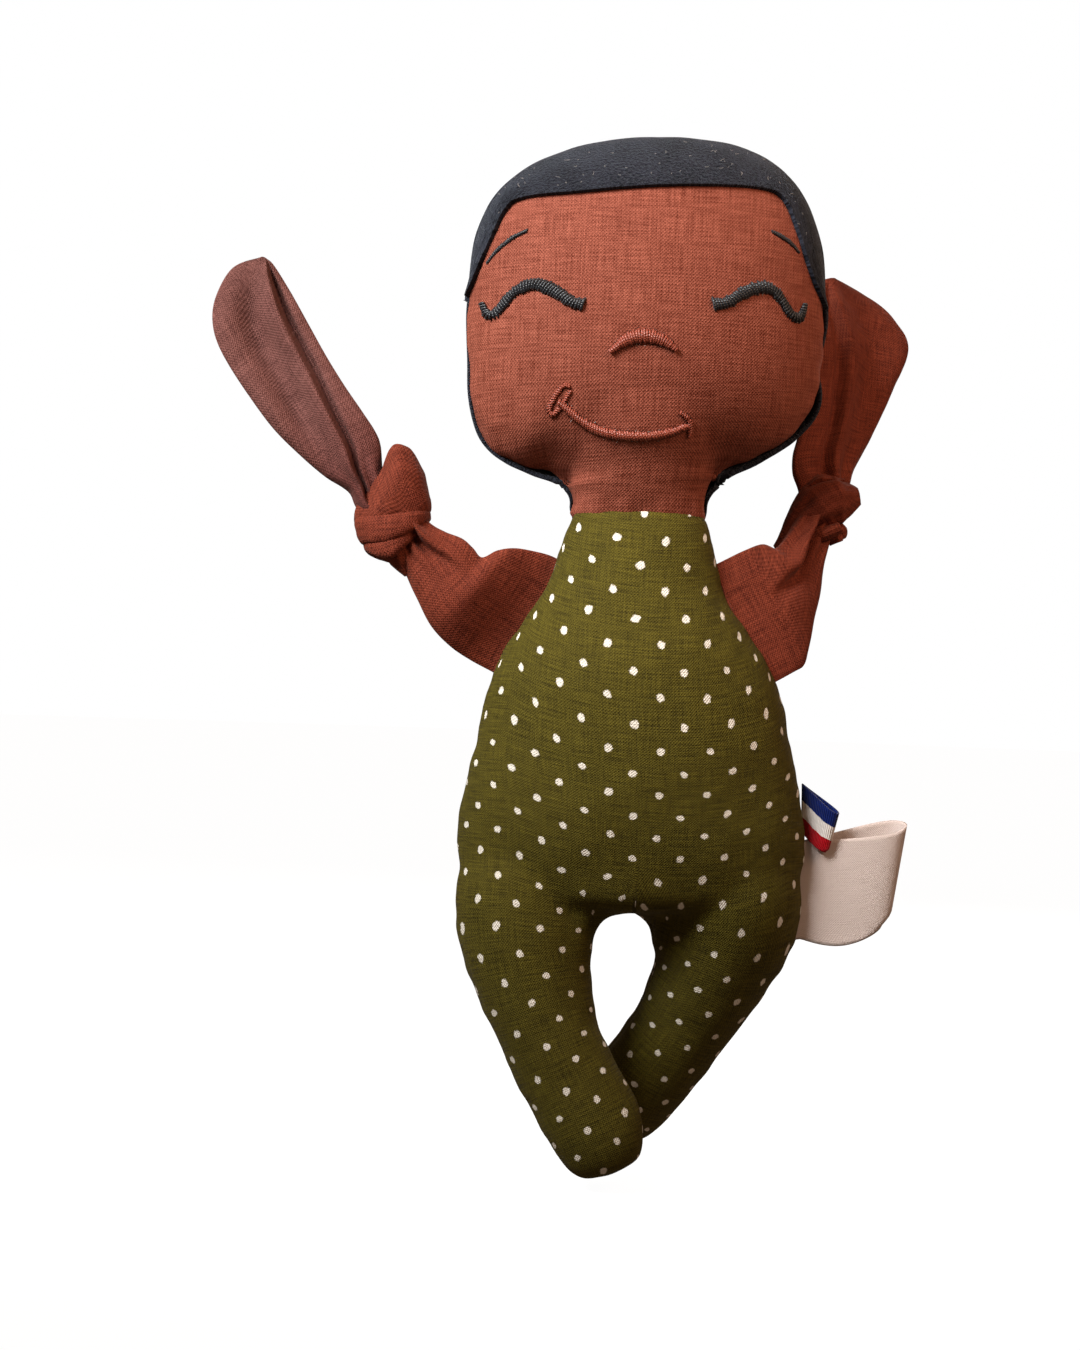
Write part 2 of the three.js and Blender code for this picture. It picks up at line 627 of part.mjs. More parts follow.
const doll = new THREE.Group();
doll.name = "cloth_doll";
doll.add(...body());
doll.add(...[neck, rightLeg, leftLeg, rightArm, leftArm, ...tabs()].map(settle));

export default doll;
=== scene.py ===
"""A soft cloth doll, dressed around its frame: linen face, felt hair, dotted body and knotted cloth arms.

Lengths are millimetres in the doll's own frame: +Z runs up through the head, the face looks along -Y
and +X is the doll's left. MM turns them into Blender's metres.
"""

import json
import math

import bmesh
import bpy
import numpy as np
from mathutils import Matrix, Vector, noise


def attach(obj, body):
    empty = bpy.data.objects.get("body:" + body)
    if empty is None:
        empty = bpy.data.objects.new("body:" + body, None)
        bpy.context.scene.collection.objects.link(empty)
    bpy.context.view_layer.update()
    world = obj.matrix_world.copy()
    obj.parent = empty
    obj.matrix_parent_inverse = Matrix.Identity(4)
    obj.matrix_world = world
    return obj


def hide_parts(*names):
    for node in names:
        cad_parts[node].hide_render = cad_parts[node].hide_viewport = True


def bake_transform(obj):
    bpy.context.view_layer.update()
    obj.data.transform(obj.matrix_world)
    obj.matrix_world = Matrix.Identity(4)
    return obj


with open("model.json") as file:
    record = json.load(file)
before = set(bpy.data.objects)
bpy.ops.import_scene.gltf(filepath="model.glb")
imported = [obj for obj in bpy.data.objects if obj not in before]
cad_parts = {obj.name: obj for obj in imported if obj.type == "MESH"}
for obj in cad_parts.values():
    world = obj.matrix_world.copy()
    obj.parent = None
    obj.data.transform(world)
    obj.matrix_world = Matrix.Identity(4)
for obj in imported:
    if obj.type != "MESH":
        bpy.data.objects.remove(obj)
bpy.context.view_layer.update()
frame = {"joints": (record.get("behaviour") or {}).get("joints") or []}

MM = 0.001
HINGE = {joint["name"]: np.array(joint["pos_m"]) / MM for joint in frame["joints"]}
SIDE = {"right": -1, "left": 1}
FORWARD = np.array([0, -1.0, 0])
MERGE_WITHIN = 0.004
rng = np.random.default_rng(7)

# Head
NECK_SEAM_Z = 58.8
NECK_SHIFT = -0.8
NECK_HALF_WIDTH = 14.5
HEAD_HALF_WIDTH = 38.0
HEAD_HALF_HEIGHT = 36.0
HEAD_HALF_DEPTH = 20.0
HEAD_MIDDLE_Z = 104.0
CHIN_Z = HEAD_MIDDLE_Z - HEAD_HALF_HEIGHT
CROWN_FULLNESS = 2.6
DEPTH_FULLNESS = 2.2
CHIN_FULLNESS = 2.0
CHIN_SOFTNESS = 5.0
JAW_TILT = 3.4
CROWN_TILT = 0.9
CROWN_FLATTENING = 0.7
LEFT_NARROWING = 0.03
# Heights over which these come in, from the first to the second
JAW_TILT_TOP = (98, 72)
JAW_TILT_FOOT = (60, 67)
CROWN_TILT_Z = (118, 136)
CROWN_FLATTENING_Z = (124, 138)
LEFT_NARROWING_Z = (62, 72)
NECK_SHIFT_Z = (74, 62)
LINEN = 0.8
FELT = 1.0
FELT_PROUD = 1.05
FELT_BEVEL = 0.28
FELT_LUMP = 0.15
FACE_TOP_Z = 131.0
# The share by which the neck is drawn in where it goes into the body
NECK_TUCK = 0.05
# Gathers along the face's side seam, and pleats at the neck
SIDE_GATHER = 0.6
NECK_PLEAT = 0.35
# How far the face runs on under the hair, and the front hair past the seam over the crown
HAIR_OVERLAP = 2.5
CROWN_OVERLAP = 0.35
# The back hair: how far it stands off the filling, and its rim below the cheeks, which is wider on the left
FELT_EASE = 0.3
RIM = 0.5
RIM_FADES_Z = (76, 92)
RIM_RIPPLE = 0.2
RIM_RIPPLE_LENGTH = 3.1
RIM_LEFT_EXTRA = 2.4
# How far the rim's lip stands forward of the seam, and how far its edge turns in
RIM_LIP = 0.55
RIM_TURN_IN = 0.4

# The head's half width at each height from the neck seam to the widest part
JAW = [(60, 14.5), (63, 14.1), (65.2, 14.4), (66.8, 15.4), (68.2, 17.2), (69.2, 19.3), (70.3, 22.6),
       (71.6, 25.6), (73.2, 28.8), (75.6, 32.0), (80, 35.1), (87, 37.2), (95, 38.0), (104, 38.0)]
# How far the neck stands out from the seam plane at each height
NECK_SWELL = [(58, 5.6), (60, 6.6), (66, 9.4), (72, 12.0), (78, 14.0), (86, 12.0), (94, 0)]
# Dimples that the stuffing leaves beside the neck: place across and depth
JAW_PUCKERS = [(-20, 1.5), (17, 0.9)]
PUCKER_Z = 72.0
PUCKER_REACH = 5.0
# The hairline and the stitches, in shares of the head's half width and of its height above the chin
HAIRLINE = [(-1.02, 0.5), (-0.974, 0.54), (-0.89, 0.643), (-0.798, 0.749), (-0.7, 0.781), (-0.4, 0.79),
            (0, 0.806), (0.4, 0.815), (0.62, 0.814), (0.715, 0.785), (0.79, 0.71), (0.873, 0.607),
            (0.955, 0.535), (1.02, 0.5)]
EYE = {
    "right": [(-0.374, 0.463), (-0.43, 0.469), (-0.526, 0.501), (-0.635, 0.523), (-0.742, 0.504),
              (-0.79, 0.478), (-0.848, 0.445), (-0.89, 0.447), (-0.918, 0.479)],
    "left": [(0.326, 0.475), (0.4, 0.483), (0.493, 0.516), (0.603, 0.536), (0.68, 0.519),
             (0.75, 0.477), (0.79, 0.462), (0.83, 0.467), (0.855, 0.503)],
}
BROW = {
    "right": [(-0.689, 0.679), (-0.77, 0.66), (-0.85, 0.628), (-0.9, 0.597)],
    "left": [(0.64, 0.699), (0.72, 0.683), (0.77, 0.668), (0.805, 0.652)],
}
NOSE = [(-0.216, 0.334), (-0.13, 0.366), (-0.038, 0.378), (0.06, 0.367), (0.13, 0.343)]
SMILE = [(-0.478, 0.205), (-0.34, 0.148), (-0.21, 0.117), (-0.04, 0.103), (0.1, 0.108), (0.211, 0.127)]
RIGHT_DIMPLE = [(-0.43, 0.245), (-0.46, 0.247), (-0.505, 0.222), (-0.533, 0.19), (-0.51, 0.176),
                (-0.465, 0.2), (-0.425, 0.232)]
LEFT_DIMPLE = [(0.175, 0.164), (0.225, 0.14), (0.228, 0.1)]
# Each stroke of satin stitches: its width, the shares of it along the stroke, and its threads
STITCHES = {
    "eye": {"width": 2.7, "profile": (0.95, 0.8, 0.95, 1, 1, 0.95, 0.8, 0.8, 0.75, 0.7, 0.35),
            "radius": 0.38, "pad": 0.5, "spacing": 1.5},
    "brow": {"width": 1.3, "profile": (0.7, 1, 0.9, 0.5), "radius": 0.24, "pad": 0.2, "spacing": 1.7},
    "nose": {"width": 2.9, "profile": (0.3, 0.65, 0.9, 1, 1, 0.9, 0.65, 0.3),
             "radius": 0.32, "pad": 0.75, "spacing": 1.5},
    "smile": {"width": 2.0, "profile": (0.6, 0.75, 0.9, 1, 1, 1, 0.9, 0.6),
              "radius": 0.33, "pad": 0.55, "spacing": 1.6},
    "dimple": {"width": 1.2, "profile": (0.7, 1, 1, 0.7), "radius": 0.26, "pad": 0.25, "spacing": 1.7},
}
EYE_SLANT = 12
BROW_SLANT = 50
MOUTH_SLANT = 30
# Unevenness of the threads: their turn in radians, the share of their length, and their lift off the face
THREAD_SWAY = 0.05
THREAD_UNEVEN = 0.09
THREAD_LIFT = 0.02
THREAD_LIFT_VARIES = 0.03
# Needle holes: how far past the thread's end, in sixths of the thread, their radius, and their ends' lifts
HOLE_PAST_END = 0.12
HOLE_RADIUS = 0.2
HOLE_ENDS = (-0.2, 0.06)
# Stray fibres beside the stitches, and lint on the felt
FIBRE_RADIUS = 0.06
FIBRE_LIFT = 0.12
LINT_COUNT = 60
LINT_RADIUS = 0.05
LINT_LIFT = 0.05
LINT_HALF_SPAN = 32.0

# Body and legs: half width, half depth and height down the trunk, then each leg along its own spine
TRUNK = [(13.4, 6.4, 61.5), (14.9, 7.8, 58.6), (17.1, 10.2, 51), (18.6, 12, 45), (21.5, 13.8, 40),
         (29.5, 17.6, 27.4), (33, 19, 14), (36.5, 18.2, -4), (36.3, 15.4, -15), (31, 12.5, -21),
         (14, 6, -23.2), (0, 0, -23.8)]
WIDEST_Z = max(TRUNK)[2]
CHEST_SHIFT_Z = (12, 36)
LEG_GIRTH = [(9, 8, 0), (13.6, 12.6, 0.12), (14.25, 12.5, 0.28), (10.8, 9.7, 0.58), (10.25, 8.75, 0.84),
             (8.6, 7.35, 0.94), (5.1, 4.4, 0.99), (0, 0, 1)]
LEGS = {
    "right": {"spine": [(21.85, -6), (21.85, -26.4), (16.1, -48.7), (6, -67.7), (1.4, -78.5)], "turn": -7.0},
    "left": {"spine": [(21.85, -6), (21.85, -26.4), (14, -48.7), (3.2, -67.7), (-0.3, -78.5)], "turn": 20.0},
}
HIP_Z = HINGE["right_leg_swing"][2]
PILLOW = 1.2
VOXEL = 0.8
RELAX_STEPS = 34
# Lumps of filling as (height, size, seed), the gathers beside the seam and the seam's groove
FILLING = [(0.4, 16.0, 2.0), (0.2, 7.0, 4.0)]
SEAM_GATHER = 0.45
SEAM_GROOVE = 0.4
LEG_CUT_Z = -26.5
# The arch between the legs: its middle, its radius and the half depth of the cloth round it
ARCH_AT = (-0.8, -30.2)
ARCH_RADIUS = 6.4
ARCH_CLOTH = 6.0
ARCH_HALF_DEPTH = 8.0
# The arch's ends in degrees, how far back its middle lies, and how much further for each millimetre across
ARCH_ENDS = (195, -15)
ARCH_BACK = 1.3
ARCH_SLANT = 0.33

# Printed dots: the repeat of the half-dropped print, its place, the size of a dot and its soft edge
DOT_REPEAT = (10.55, 11.0)
DOT_PLACE = (0.41, -5.0)
DOT_RADIUS = 0.84
DOT_BLUR = 0.16
BACK_PRINT_SHIFT = (3.4, 4.1)
# The rows of the print sag towards the middle of the belly and lean a little
ROW_SAG = 0.0055
ROW_MIDDLE = 5.0
SAG_REACH = 34.0
SAG_ENDS_Z = (-46, -4)
COLUMN_LEAN = 0.028
CHEST_LEAN = 0.084
CHEST_LEAN_FROM_Z = 22.0
# More cloth to each millimetre of width low on the belly, of height where it curves under, and on the legs
BELLY_STRETCH = 0.1
BELLY_STRETCH_Z = (12, -8)
UNDERSIDE_STRETCH = 0.25
UNDERSIDE_FROM_Z = 12.0
LEG_STRETCH = 1.18
LEG_PRINT_START = (24.9, -11.5)
# Heights between which the trunk's print gives way to the legs', and the belly's measure to the chest's
LEG_PRINT_Z = (-12, -36)
CHEST_PRINT_Z = (5, 35)
# Depth of the print for its width round the belly, the chest and a leg
BELLY_ROUND = 0.55
CHEST_ROUND = 1.0
LEG_ROUND = 0.87


# Curves and meshes

def spline(points, count):
    """Evenly spaced points along a smooth curve through the given ones."""
    knots = np.asarray(points, float)
    knots = np.vstack([2 * knots[0] - knots[1], knots, 2 * knots[-1] - knots[-2]])
    steps = np.linspace(0, len(knots) - 3, 40 * len(knots))
    first = np.minimum(steps.astype(int), len(knots) - 4)
    t = (steps - first)[:, None]
    a, b, c, d = (knots[first + i] for i in range(4))
    fine = 0.5 * (2 * b + (c - a) * t + (2 * a - 5 * b + 4 * c - d) * t**2 + (3 * b - a - 3 * c + d) * t**3)
    run = lengths(fine, 0)
    places = np.linspace(0, run[-1], count)
    return np.stack([np.interp(places, run, column) for column in fine.T], axis=1)


def table(points):
    """The same curve as a function of its first column. Further columns come back side by side."""
    curve = spline(points, 400)

    def look_up(at):
        values = [np.interp(at, curve[:, 0], column) for column in curve.T[1:]]
        return values[0] if len(values) == 1 else values

    return look_up


def joined(*columns):
    """Coordinates side by side, as points."""
    return np.stack(np.broadcast_arrays(*columns), axis=-1)


def around(count):
    """Angles evenly spaced round a full turn."""
    return np.linspace(0, 2 * math.pi, count, endpoint=False)


def smooth(start, end, at):
    t = np.clip((np.asarray(at, float) - start) / (end - start), 0, 1)
    return t * t * (3 - 2 * t)


def bell(at, middle, width):
    return np.exp(-(((at - middle) / width) ** 2))


def rounded(values, power):
    return np.sign(values) * np.abs(values) ** power


def soft_max(a, b, reach):
    near = np.clip(reach - np.abs(a - b), 0, None)
    return np.maximum(a, b) + near**2 / (4 * np.maximum(reach, 1e-6))


def lumps(points, size, seed=0.0):
    """Smooth noise from -1 to 1 at each point, with features about as large as size."""
    flat = np.asarray(points, float).reshape(-1, 3) / size + seed
    return np.array([noise.noise(Vector(p)) for p in flat]).reshape(np.shape(points)[:-1])


def crumpled(points, *layers):
    """Heights of cloth that isn't smooth: summed lumps, each layer as (height, size, seed)."""
    return sum(height * lumps(points, size, seed) for height, size, seed in layers)


def unit(vectors):
    return vectors / np.maximum(np.linalg.norm(vectors, axis=-1, keepdims=True), 1e-9)


def normals(points):
    """Outward normals of a grid of points whose rows run up and columns run to the right."""
    return unit(np.cross(np.gradient(points, axis=1), np.gradient(points, axis=0)))


def lengths(points, axis):
    steps = np.linalg.norm(np.diff(points, axis=axis), axis=-1)
    start = np.zeros_like(np.take(steps, [0], axis=axis))
    return np.concatenate([start, np.cumsum(steps, axis=axis)], axis=axis)


def corners(grid):
    """The values at the four corners of each face of a grid, in turn."""
    return [grid[:-1, :-1], grid[:-1, 1:], grid[1:, 1:], grid[1:, :-1]]


def configured(thing, **settings):
    """Sets several attributes of a thing and returns it."""
    for name, value in settings.items():
        setattr(thing, name, value)
    return thing


def placed(name, data):
    """A new object in the scene."""
    obj = bpy.data.objects.new(name, data)
    bpy.context.scene.collection.objects.link(obj)
    return obj


class Skin:
    """Points, faces and flat cloth coordinates gathered from one or more grids."""

    def __init__(self):
        self.points, self.faces, self.flat, self.count = [], [], [], 0

    def grid(self, points, flat=None, wrap=False, ends=False, keep=None):
        """Adds a grid. wrap closes its columns, ends closes its first and last row to their middles."""
        rows, columns = points.shape[:2]
        closed = np.concatenate([points, points[:, :1]], axis=1) if wrap else points
        if flat is None:
            across = lengths(closed, 1)
            flat = joined(across - across[:, -1:] / 2, lengths(closed, 0))
        index = self.count + np.arange(rows * columns).reshape(rows, columns)
        index = np.concatenate([index, index[:, :1]], axis=1) if wrap else index
        quads = np.stack(corners(index), axis=-1).reshape(-1, 4)
        coords = np.stack(corners(flat), axis=-2).reshape(-1, 4, 2)
        if keep is not None:
            quads, coords = quads[keep.ravel()], coords[keep.ravel()]
        self.faces += quads.tolist()
        self.flat += list(coords)
        self.points.append(points.reshape(-1, 3))
        self.count += rows * columns
        if ends:
            self.close(points[0], index[0], flat[0], True)
            self.close(points[-1], index[-1], flat[-1], False)
        return self

    def close(self, ring, index, flat, flip):
        self.points.append(ring.mean(axis=0)[None])
        middle = flat.mean(axis=0)
        for a, b, p, q in zip(index[:-1], index[1:], flat[:-1], flat[1:]):
            self.faces.append([b, a, self.count] if flip else [a, b, self.count])
            self.flat.append(np.array([q, p, middle] if flip else [p, q, middle]))
        self.count += 1

    def object(self, name):
        mesh = bpy.data.meshes.new(name)
        mesh.from_pydata((np.concatenate(self.points) * MM).tolist(), [], self.faces)
        layer = mesh.uv_layers.new(name="flat")
        layer.uv.foreach_set("vector", np.concatenate(self.flat).astype(np.float32).ravel())
        mesh.polygons.foreach_set("use_smooth", np.ones(len(mesh.polygons), bool))
        return placed(name, mesh)


def settle(obj):
    """Makes the modifiers' result the object's own mesh."""
    bpy.context.view_layer.update()
    result = bpy.data.meshes.new_from_object(obj.evaluated_get(bpy.context.evaluated_depsgraph_get()))
    obj.modifiers.clear()
    obj.data = result
    return obj


def edit(obj, change):
    """Makes a change to the object's own mesh."""
    work = bmesh.new()
    work.from_mesh(obj.data)
    change(work)
    work.to_mesh(obj.data)
    work.free()
    return obj


def tidy(obj, closed=True):
    """Merges doubled points, drops loose ones and turns the faces of a closed piece outwards."""

    def change(work):
        bmesh.ops.remove_doubles(work, verts=work.verts, dist=MERGE_WITHIN * MM)
        bmesh.ops.delete(work, geom=[v for v in work.verts if not v.link_faces], context="VERTS")
        if closed:
            bmesh.ops.recalc_face_normals(work, faces=work.faces)

    return edit(obj, change)


def thicken(obj, thickness, bevel=0.0, offset=-1):
    """Gives an open skin its cloth thickness. An offset of -1 puts it inwards from the outer face."""
    tidy(obj, closed=False)
    configured(obj.modifiers.new("wall", "SOLIDIFY"), thickness=thickness * MM, offset=offset)
    if bevel:
        edge = obj.modifiers.new("edge", "BEVEL")
        configured(edge, width=bevel * MM, segments=2, angle_limit=math.radians(50))
    return settle(obj)


def tubes(skin, paths, radius, sides=5, taper=0.55):
    """Adds a round thread along each path. paths has the shape (threads, points, 3)."""
    along = unit(np.gradient(paths, axis=1))
    side = unit(np.cross(along, np.array([0.13, 1.0, 0.21])))
    up = np.cross(side, along)
    angles = around(sides)
    ring = side[:, :, None] * np.cos(angles)[:, None] + up[:, :, None] * np.sin(angles)[:, None]
    girth = np.full(paths.shape[1], radius)
    girth[[0, -1]] *= taper
    for path, turn in zip(paths, ring):
        skin.grid(path[:, None] + turn * girth[:, None, None], wrap=True, ends=True)
    return skin


# Materials

def set_inputs(node, values):
    """Sets the values of a node's inputs by their names."""
    for name, value in values.items():
        node.inputs[name].default_value = value


class Graph:
    """A material's nodes, written as expressions."""

    def __init__(self, name, roughness, sheen, sheen_tint=(1.0, 1.0, 1.0), gloss=0.12):
        self.material = bpy.data.materials.new(name)
        self.material.use_nodes = True
        self.tree = self.material.node_tree
        self.shader = self.tree.nodes["Principled BSDF"]
        set_inputs(self.shader, {
            "Roughness": roughness, "Specular IOR Level": gloss, "Sheen Weight": sheen,
            "Sheen Roughness": 0.4, "Sheen Tint": (*sheen_tint, 1),
        })
        coords = self.node("ShaderNodeUVMap")
        coords.uv_map = "flat"
        self.place = coords.outputs["UV"]
        split = self.node("ShaderNodeSeparateXYZ", Vector=self.place)
        self.u, self.v = split.outputs["X"], split.outputs["Y"]

    def node(self, kind, **inputs):
        made = self.tree.nodes.new(kind)
        for name, value in inputs.items():
            self.put(made.inputs[name], value)
        return made

    def put(self, socket, value):
        if isinstance(value, bpy.types.NodeSocket):
            self.tree.links.new(value, socket)
        else:
            socket.default_value = value

    def math(self, operation, *values, clamp=False):
        made = configured(self.tree.nodes.new("ShaderNodeMath"), operation=operation, use_clamp=clamp)
        for socket, value in zip(made.inputs, values):
            self.put(socket, value)
        return made.outputs[0]

    def scaled(self, across, along):
        made = configured(self.tree.nodes.new("ShaderNodeVectorMath"), operation="MULTIPLY")
        self.put(made.inputs[0], self.place)
        made.inputs[1].default_value = (across, along, 1)
        return made.outputs[0]

    def noise(self, across, along, detail=2.0):
        """Noise from 0 to 1 with features 1 / across wide and 1 / along tall, in millimetres."""
        made = self.node("ShaderNodeTexNoise", Vector=self.scaled(across, along), Scale=1.0, Detail=detail)
        made.noise_dimensions = "2D"
        return made.outputs["Fac"]

    def mix(self, factor, dark, light):
        made = configured(self.tree.nodes.new("ShaderNodeMix"), data_type="RGBA")
        for name, value in (("Factor_Float", factor), ("A_Color", dark), ("B_Color", light)):
            socket = next(each for each in made.inputs if each.identifier == name)
            self.put(socket, (*value, 1) if isinstance(value, tuple) else value)
        return next(each for each in made.outputs if each.identifier == "Result_Color")

    def ramp(self, value, source, target, shape="LINEAR"):
        """Takes a value from one range to another and holds it at the ends."""
        made = self.node("ShaderNodeMapRange", Value=value)
        made.interpolation_type = shape
        set_inputs(made, {
            "From Min": source[0], "From Max": source[1], "To Min": target[0], "To Max": target[1],
        })
        return made.outputs["Result"]

    def wave(self, at, repeat):
        """A ripple from 0 to 1."""
        turns = self.math("SINE", self.math("MULTIPLY", at, 2 * math.pi / repeat))
        return self.math("MULTIPLY_ADD", turns, 0.5, 0.5)

    def blend(self, *terms):
        """0.5 plus each (value, weight), for values from 0 to 1."""
        total = 0.5
        for value, weight in terms:
            total = self.math("MULTIPLY_ADD", self.math("SUBTRACT", value, 0.5), weight, total)
        return self.math("ADD", total, 0, clamp=True)

    def finish(self, colour, height, depth):
        bump = self.node("ShaderNodeBump", Height=height, Distance=depth * MM)
        self.tree.links.new(bump.outputs["Normal"], self.shader.inputs["Normal"])
        self.tree.links.new(colour, self.shader.inputs["Base Color"])
        return self.material


def woven(graph, pitch, slub, lengthwise=1.0):
    """The threads of a plain weave, with slubs along both ways. Returns a shade and a height."""
    over = graph.math("MULTIPLY", graph.math("SUBTRACT", graph.wave(graph.u, 2 * pitch), 0.5),
                      graph.math("SUBTRACT", graph.wave(graph.v, 2 * pitch), 0.5))
    cross = graph.math("MULTIPLY_ADD", over, 2.0, 0.5)
    weft = graph.noise(0.14, 1.1 / pitch, 2.0)
    warp = graph.noise(1.1 / pitch, 0.14, 2.0)
    grain = graph.noise(1.6, 1.6, 3.0)
    patches = graph.noise(0.1, 0.1, 2.0)
    shade = graph.blend((weft, slub), (warp, slub * lengthwise), (cross, 0.5), (grain, 0.35), (patches, 0.2))
    height = graph.blend((cross, 0.8), (weft, 0.7), (warp, 0.7 * lengthwise))
    return shade, height


def cloth(name, dark, light, pitch, slub, roughness, sheen, painted_sheen=None):
    """A plain weave. An optional pair of shades, given last, paints sheen and light on it: along its length
    the cloth turns to that paler, greyer pair.
    """
    graph = Graph(name, roughness, sheen, VEIL)
    shade, height = woven(graph, pitch, slub)
    colour = graph.mix(shade, dark, light)
    if painted_sheen:
        # Painted sheen and light along the cloth: from its own shades at the start to the paler, greyer pair
        # further along
        colour = graph.mix(graph.ramp(graph.v, PAINTED_SHEEN_BETWEEN, (0, 1)), colour, graph.mix(shade, *painted_sheen))
    return graph.finish(colour, height, 0.12)


def dotted_cotton():
    graph = Graph("dotted_cotton", 0.75, 0.03, gloss=0.1)
    shade, height = woven(graph, 0.33, 1.2, 0.7)
    ground = graph.mix(shade, (0.024, 0.0182, 0.0012), (0.100, 0.080, 0.0086))
    wander = graph.math("MULTIPLY_ADD", graph.noise(0.11, 0.11), 1.6, -0.8)
    ragged = graph.math("MULTIPLY_ADD", graph.noise(1.4, 1.4), 0.6, -0.3)
    u = graph.math("ADD", graph.math("ADD", graph.u, DOT_PLACE[0]), wander)
    v = graph.math("ADD", graph.math("ADD", graph.v, DOT_PLACE[1]), wander)

    def distance(shift):
        spread = []
        for at, repeat in zip((u, v), DOT_REPEAT):
            share = graph.math("FRACT", graph.math("MULTIPLY_ADD", at, 1 / repeat, shift))
            offset = graph.math("MULTIPLY", graph.math("SUBTRACT", share, 0.5), repeat)
            spread.append(graph.math("POWER", offset, 2.0))
        return graph.math("SQRT", graph.math("ADD", *spread))

    nearest = graph.math("ADD", graph.math("MINIMUM", distance(0.0), distance(0.5)), ragged)
    inside = graph.ramp(nearest, (DOT_RADIUS - DOT_BLUR, DOT_RADIUS + DOT_BLUR), (1, 0), "SMOOTHSTEP")
    dot = graph.mix(shade, (0.54, 0.50, 0.43), (0.76, 0.72, 0.65))
    return graph.finish(graph.mix(inside, ground, dot), height, 0.14)


def felt():
    graph = Graph("black_felt", 0.95, 0.12, (0.8, 0.88, 1.0), gloss=0.1)
    fibres = graph.noise(1.6, 1.6, 6.0)
    worn = graph.noise(0.12, 0.12, 3.0)
    specks = graph.noise(4.0, 4.0, 2.0)
    shade = graph.blend((fibres, 2.0), (worn, 1.0), (specks, 1.2))
    colour = graph.mix(shade, (0.003, 0.004, 0.007), (0.032, 0.035, 0.050))
    return graph.finish(colour, graph.blend((fibres, 1.4), (specks, 1.0)), 0.5)


def thread(name, dark, light, sheen):
    graph = Graph(name, 0.42, sheen, gloss=0.45)
    ply = graph.noise(2.4, 0.7, 3.0)
    return graph.finish(graph.mix(ply, dark, light), graph.wave(graph.v, 0.5), 0.05)


def ribbon_weave(height):
    """Three woven stripes along the ribbon, with the fine ribs of its weft."""
    graph = Graph("tricolour_ribbon", 0.6, 0.1)
    ribs = graph.wave(graph.v, 0.42)
    shade = graph.blend((ribs, 0.6), (graph.noise(2.0, 0.4), 0.8))
    wavy = graph.math("MULTIPLY_ADD", graph.noise(0.5, 0.9), 0.5, graph.math("SUBTRACT", graph.u, 0.25))
    red = graph.mix(shade, (0.20, 0.0012, 0.004), (0.44, 0.003, 0.011))
    white = graph.mix(shade, (0.50, 0.45, 0.42), (0.72, 0.67, 0.64))
    blue = graph.mix(shade, (0.0006, 0.003, 0.038), (0.0025, 0.014, 0.125))
    lower = graph.math("GREATER_THAN", wavy, -height / 6)
    upper = graph.math("GREATER_THAN", wavy, height / 6)
    colour = graph.mix(upper, graph.mix(lower, red, white), blue)
    return graph.finish(colour, ribs, 0.14)


VEIL = (1.0, 0.85, 0.80)
# Lengths along the right flap over which its painted shade by the knot gives way to painted sheen towards
# the tip
PAINTED_SHEEN_BETWEEN = (4.0, 34.0)
COTTON = ((0.060, 0.0080, 0.0032), (0.205, 0.040, 0.0195))
# Painted shade with a grey sheen: the right flap's cloth by the knot, darker and greyer than the arm's
# cotton
FLAP_PAINTED_SHADE = ((0.050, 0.0120, 0.0095), (0.140, 0.038, 0.031))
# Painted sheen and light: the right flap's cloth towards its tip, paler and greyer
FLAP_PAINTED_SHEEN = ((0.092, 0.032, 0.027), (0.215, 0.087, 0.074))
LINEN_SHADES = ((0.106, 0.0185, 0.0082), (0.32, 0.092, 0.058))
# Painted shade: near-black plugs that stand for the hollows of the needle holes
HOLE_SHADE_COLOURS = ((0.008, 0.002, 0.0015), (0.022, 0.006, 0.004))
SATIN_SHADES = ((0.50, 0.41, 0.375), (0.60, 0.505, 0.47))
LINT_SHADES = ((0.22, 0.20, 0.19), (0.40, 0.37, 0.35))
COTTON_WEAVE = {"pitch": 0.34, "slub": 1.2, "sheen": 0.04}
RUST_LINEN = cloth("rust_linen", *LINEN_SHADES, pitch=0.36, slub=1.0, roughness=0.75, sheen=0.03)
HOLE_SHADE_LINEN = cloth("pricked_linen", *HOLE_SHADE_COLOURS, pitch=0.42, slub=0.5, roughness=0.9, sheen=0.1)
RUST_COTTON = cloth("rust_cotton", *COTTON, roughness=0.75, **COTTON_WEAVE)
# The flaps' cloths: plain cotton, or cotton with painted shade by the knot and painted sheen towards the tip
FLAP_CLOTH = {
    "plain": RUST_COTTON,
    "painted_sheen": cloth("faded_cotton", *FLAP_PAINTED_SHADE, roughness=0.8, painted_sheen=FLAP_PAINTED_SHEEN, **COTTON_WEAVE),
}
DOTTED_COTTON = dotted_cotton()
BLACK_FELT = felt()
BLACK_THREAD = thread("black_thread", (0.003, 0.0035, 0.005), (0.015, 0.018, 0.024), 0.1)
RUST_THREAD = thread("rust_thread", (0.12, 0.017, 0.008), (0.36, 0.078, 0.042), 0.05)
WHITE_SATIN = cloth("white_satin", *SATIN_SHADES, pitch=0.2, slub=0.4, roughness=0.6, sheen=0.05)
LINT = cloth("lint", *LINT_SHADES, pitch=0.3, slub=0.5, roughness=0.9, sheen=0.1)


def dress(obj, material, slot, *nodes):
    """Gives a finished piece its material and hides the solids that it stands for. Its slot is not used."""
    obj.data.materials.clear()
    obj.data.materials.append(material)
    if nodes:
        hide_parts(*nodes)
    return obj


# Head

jaw_width = table(JAW)
neck_swell = table(NECK_SWELL)


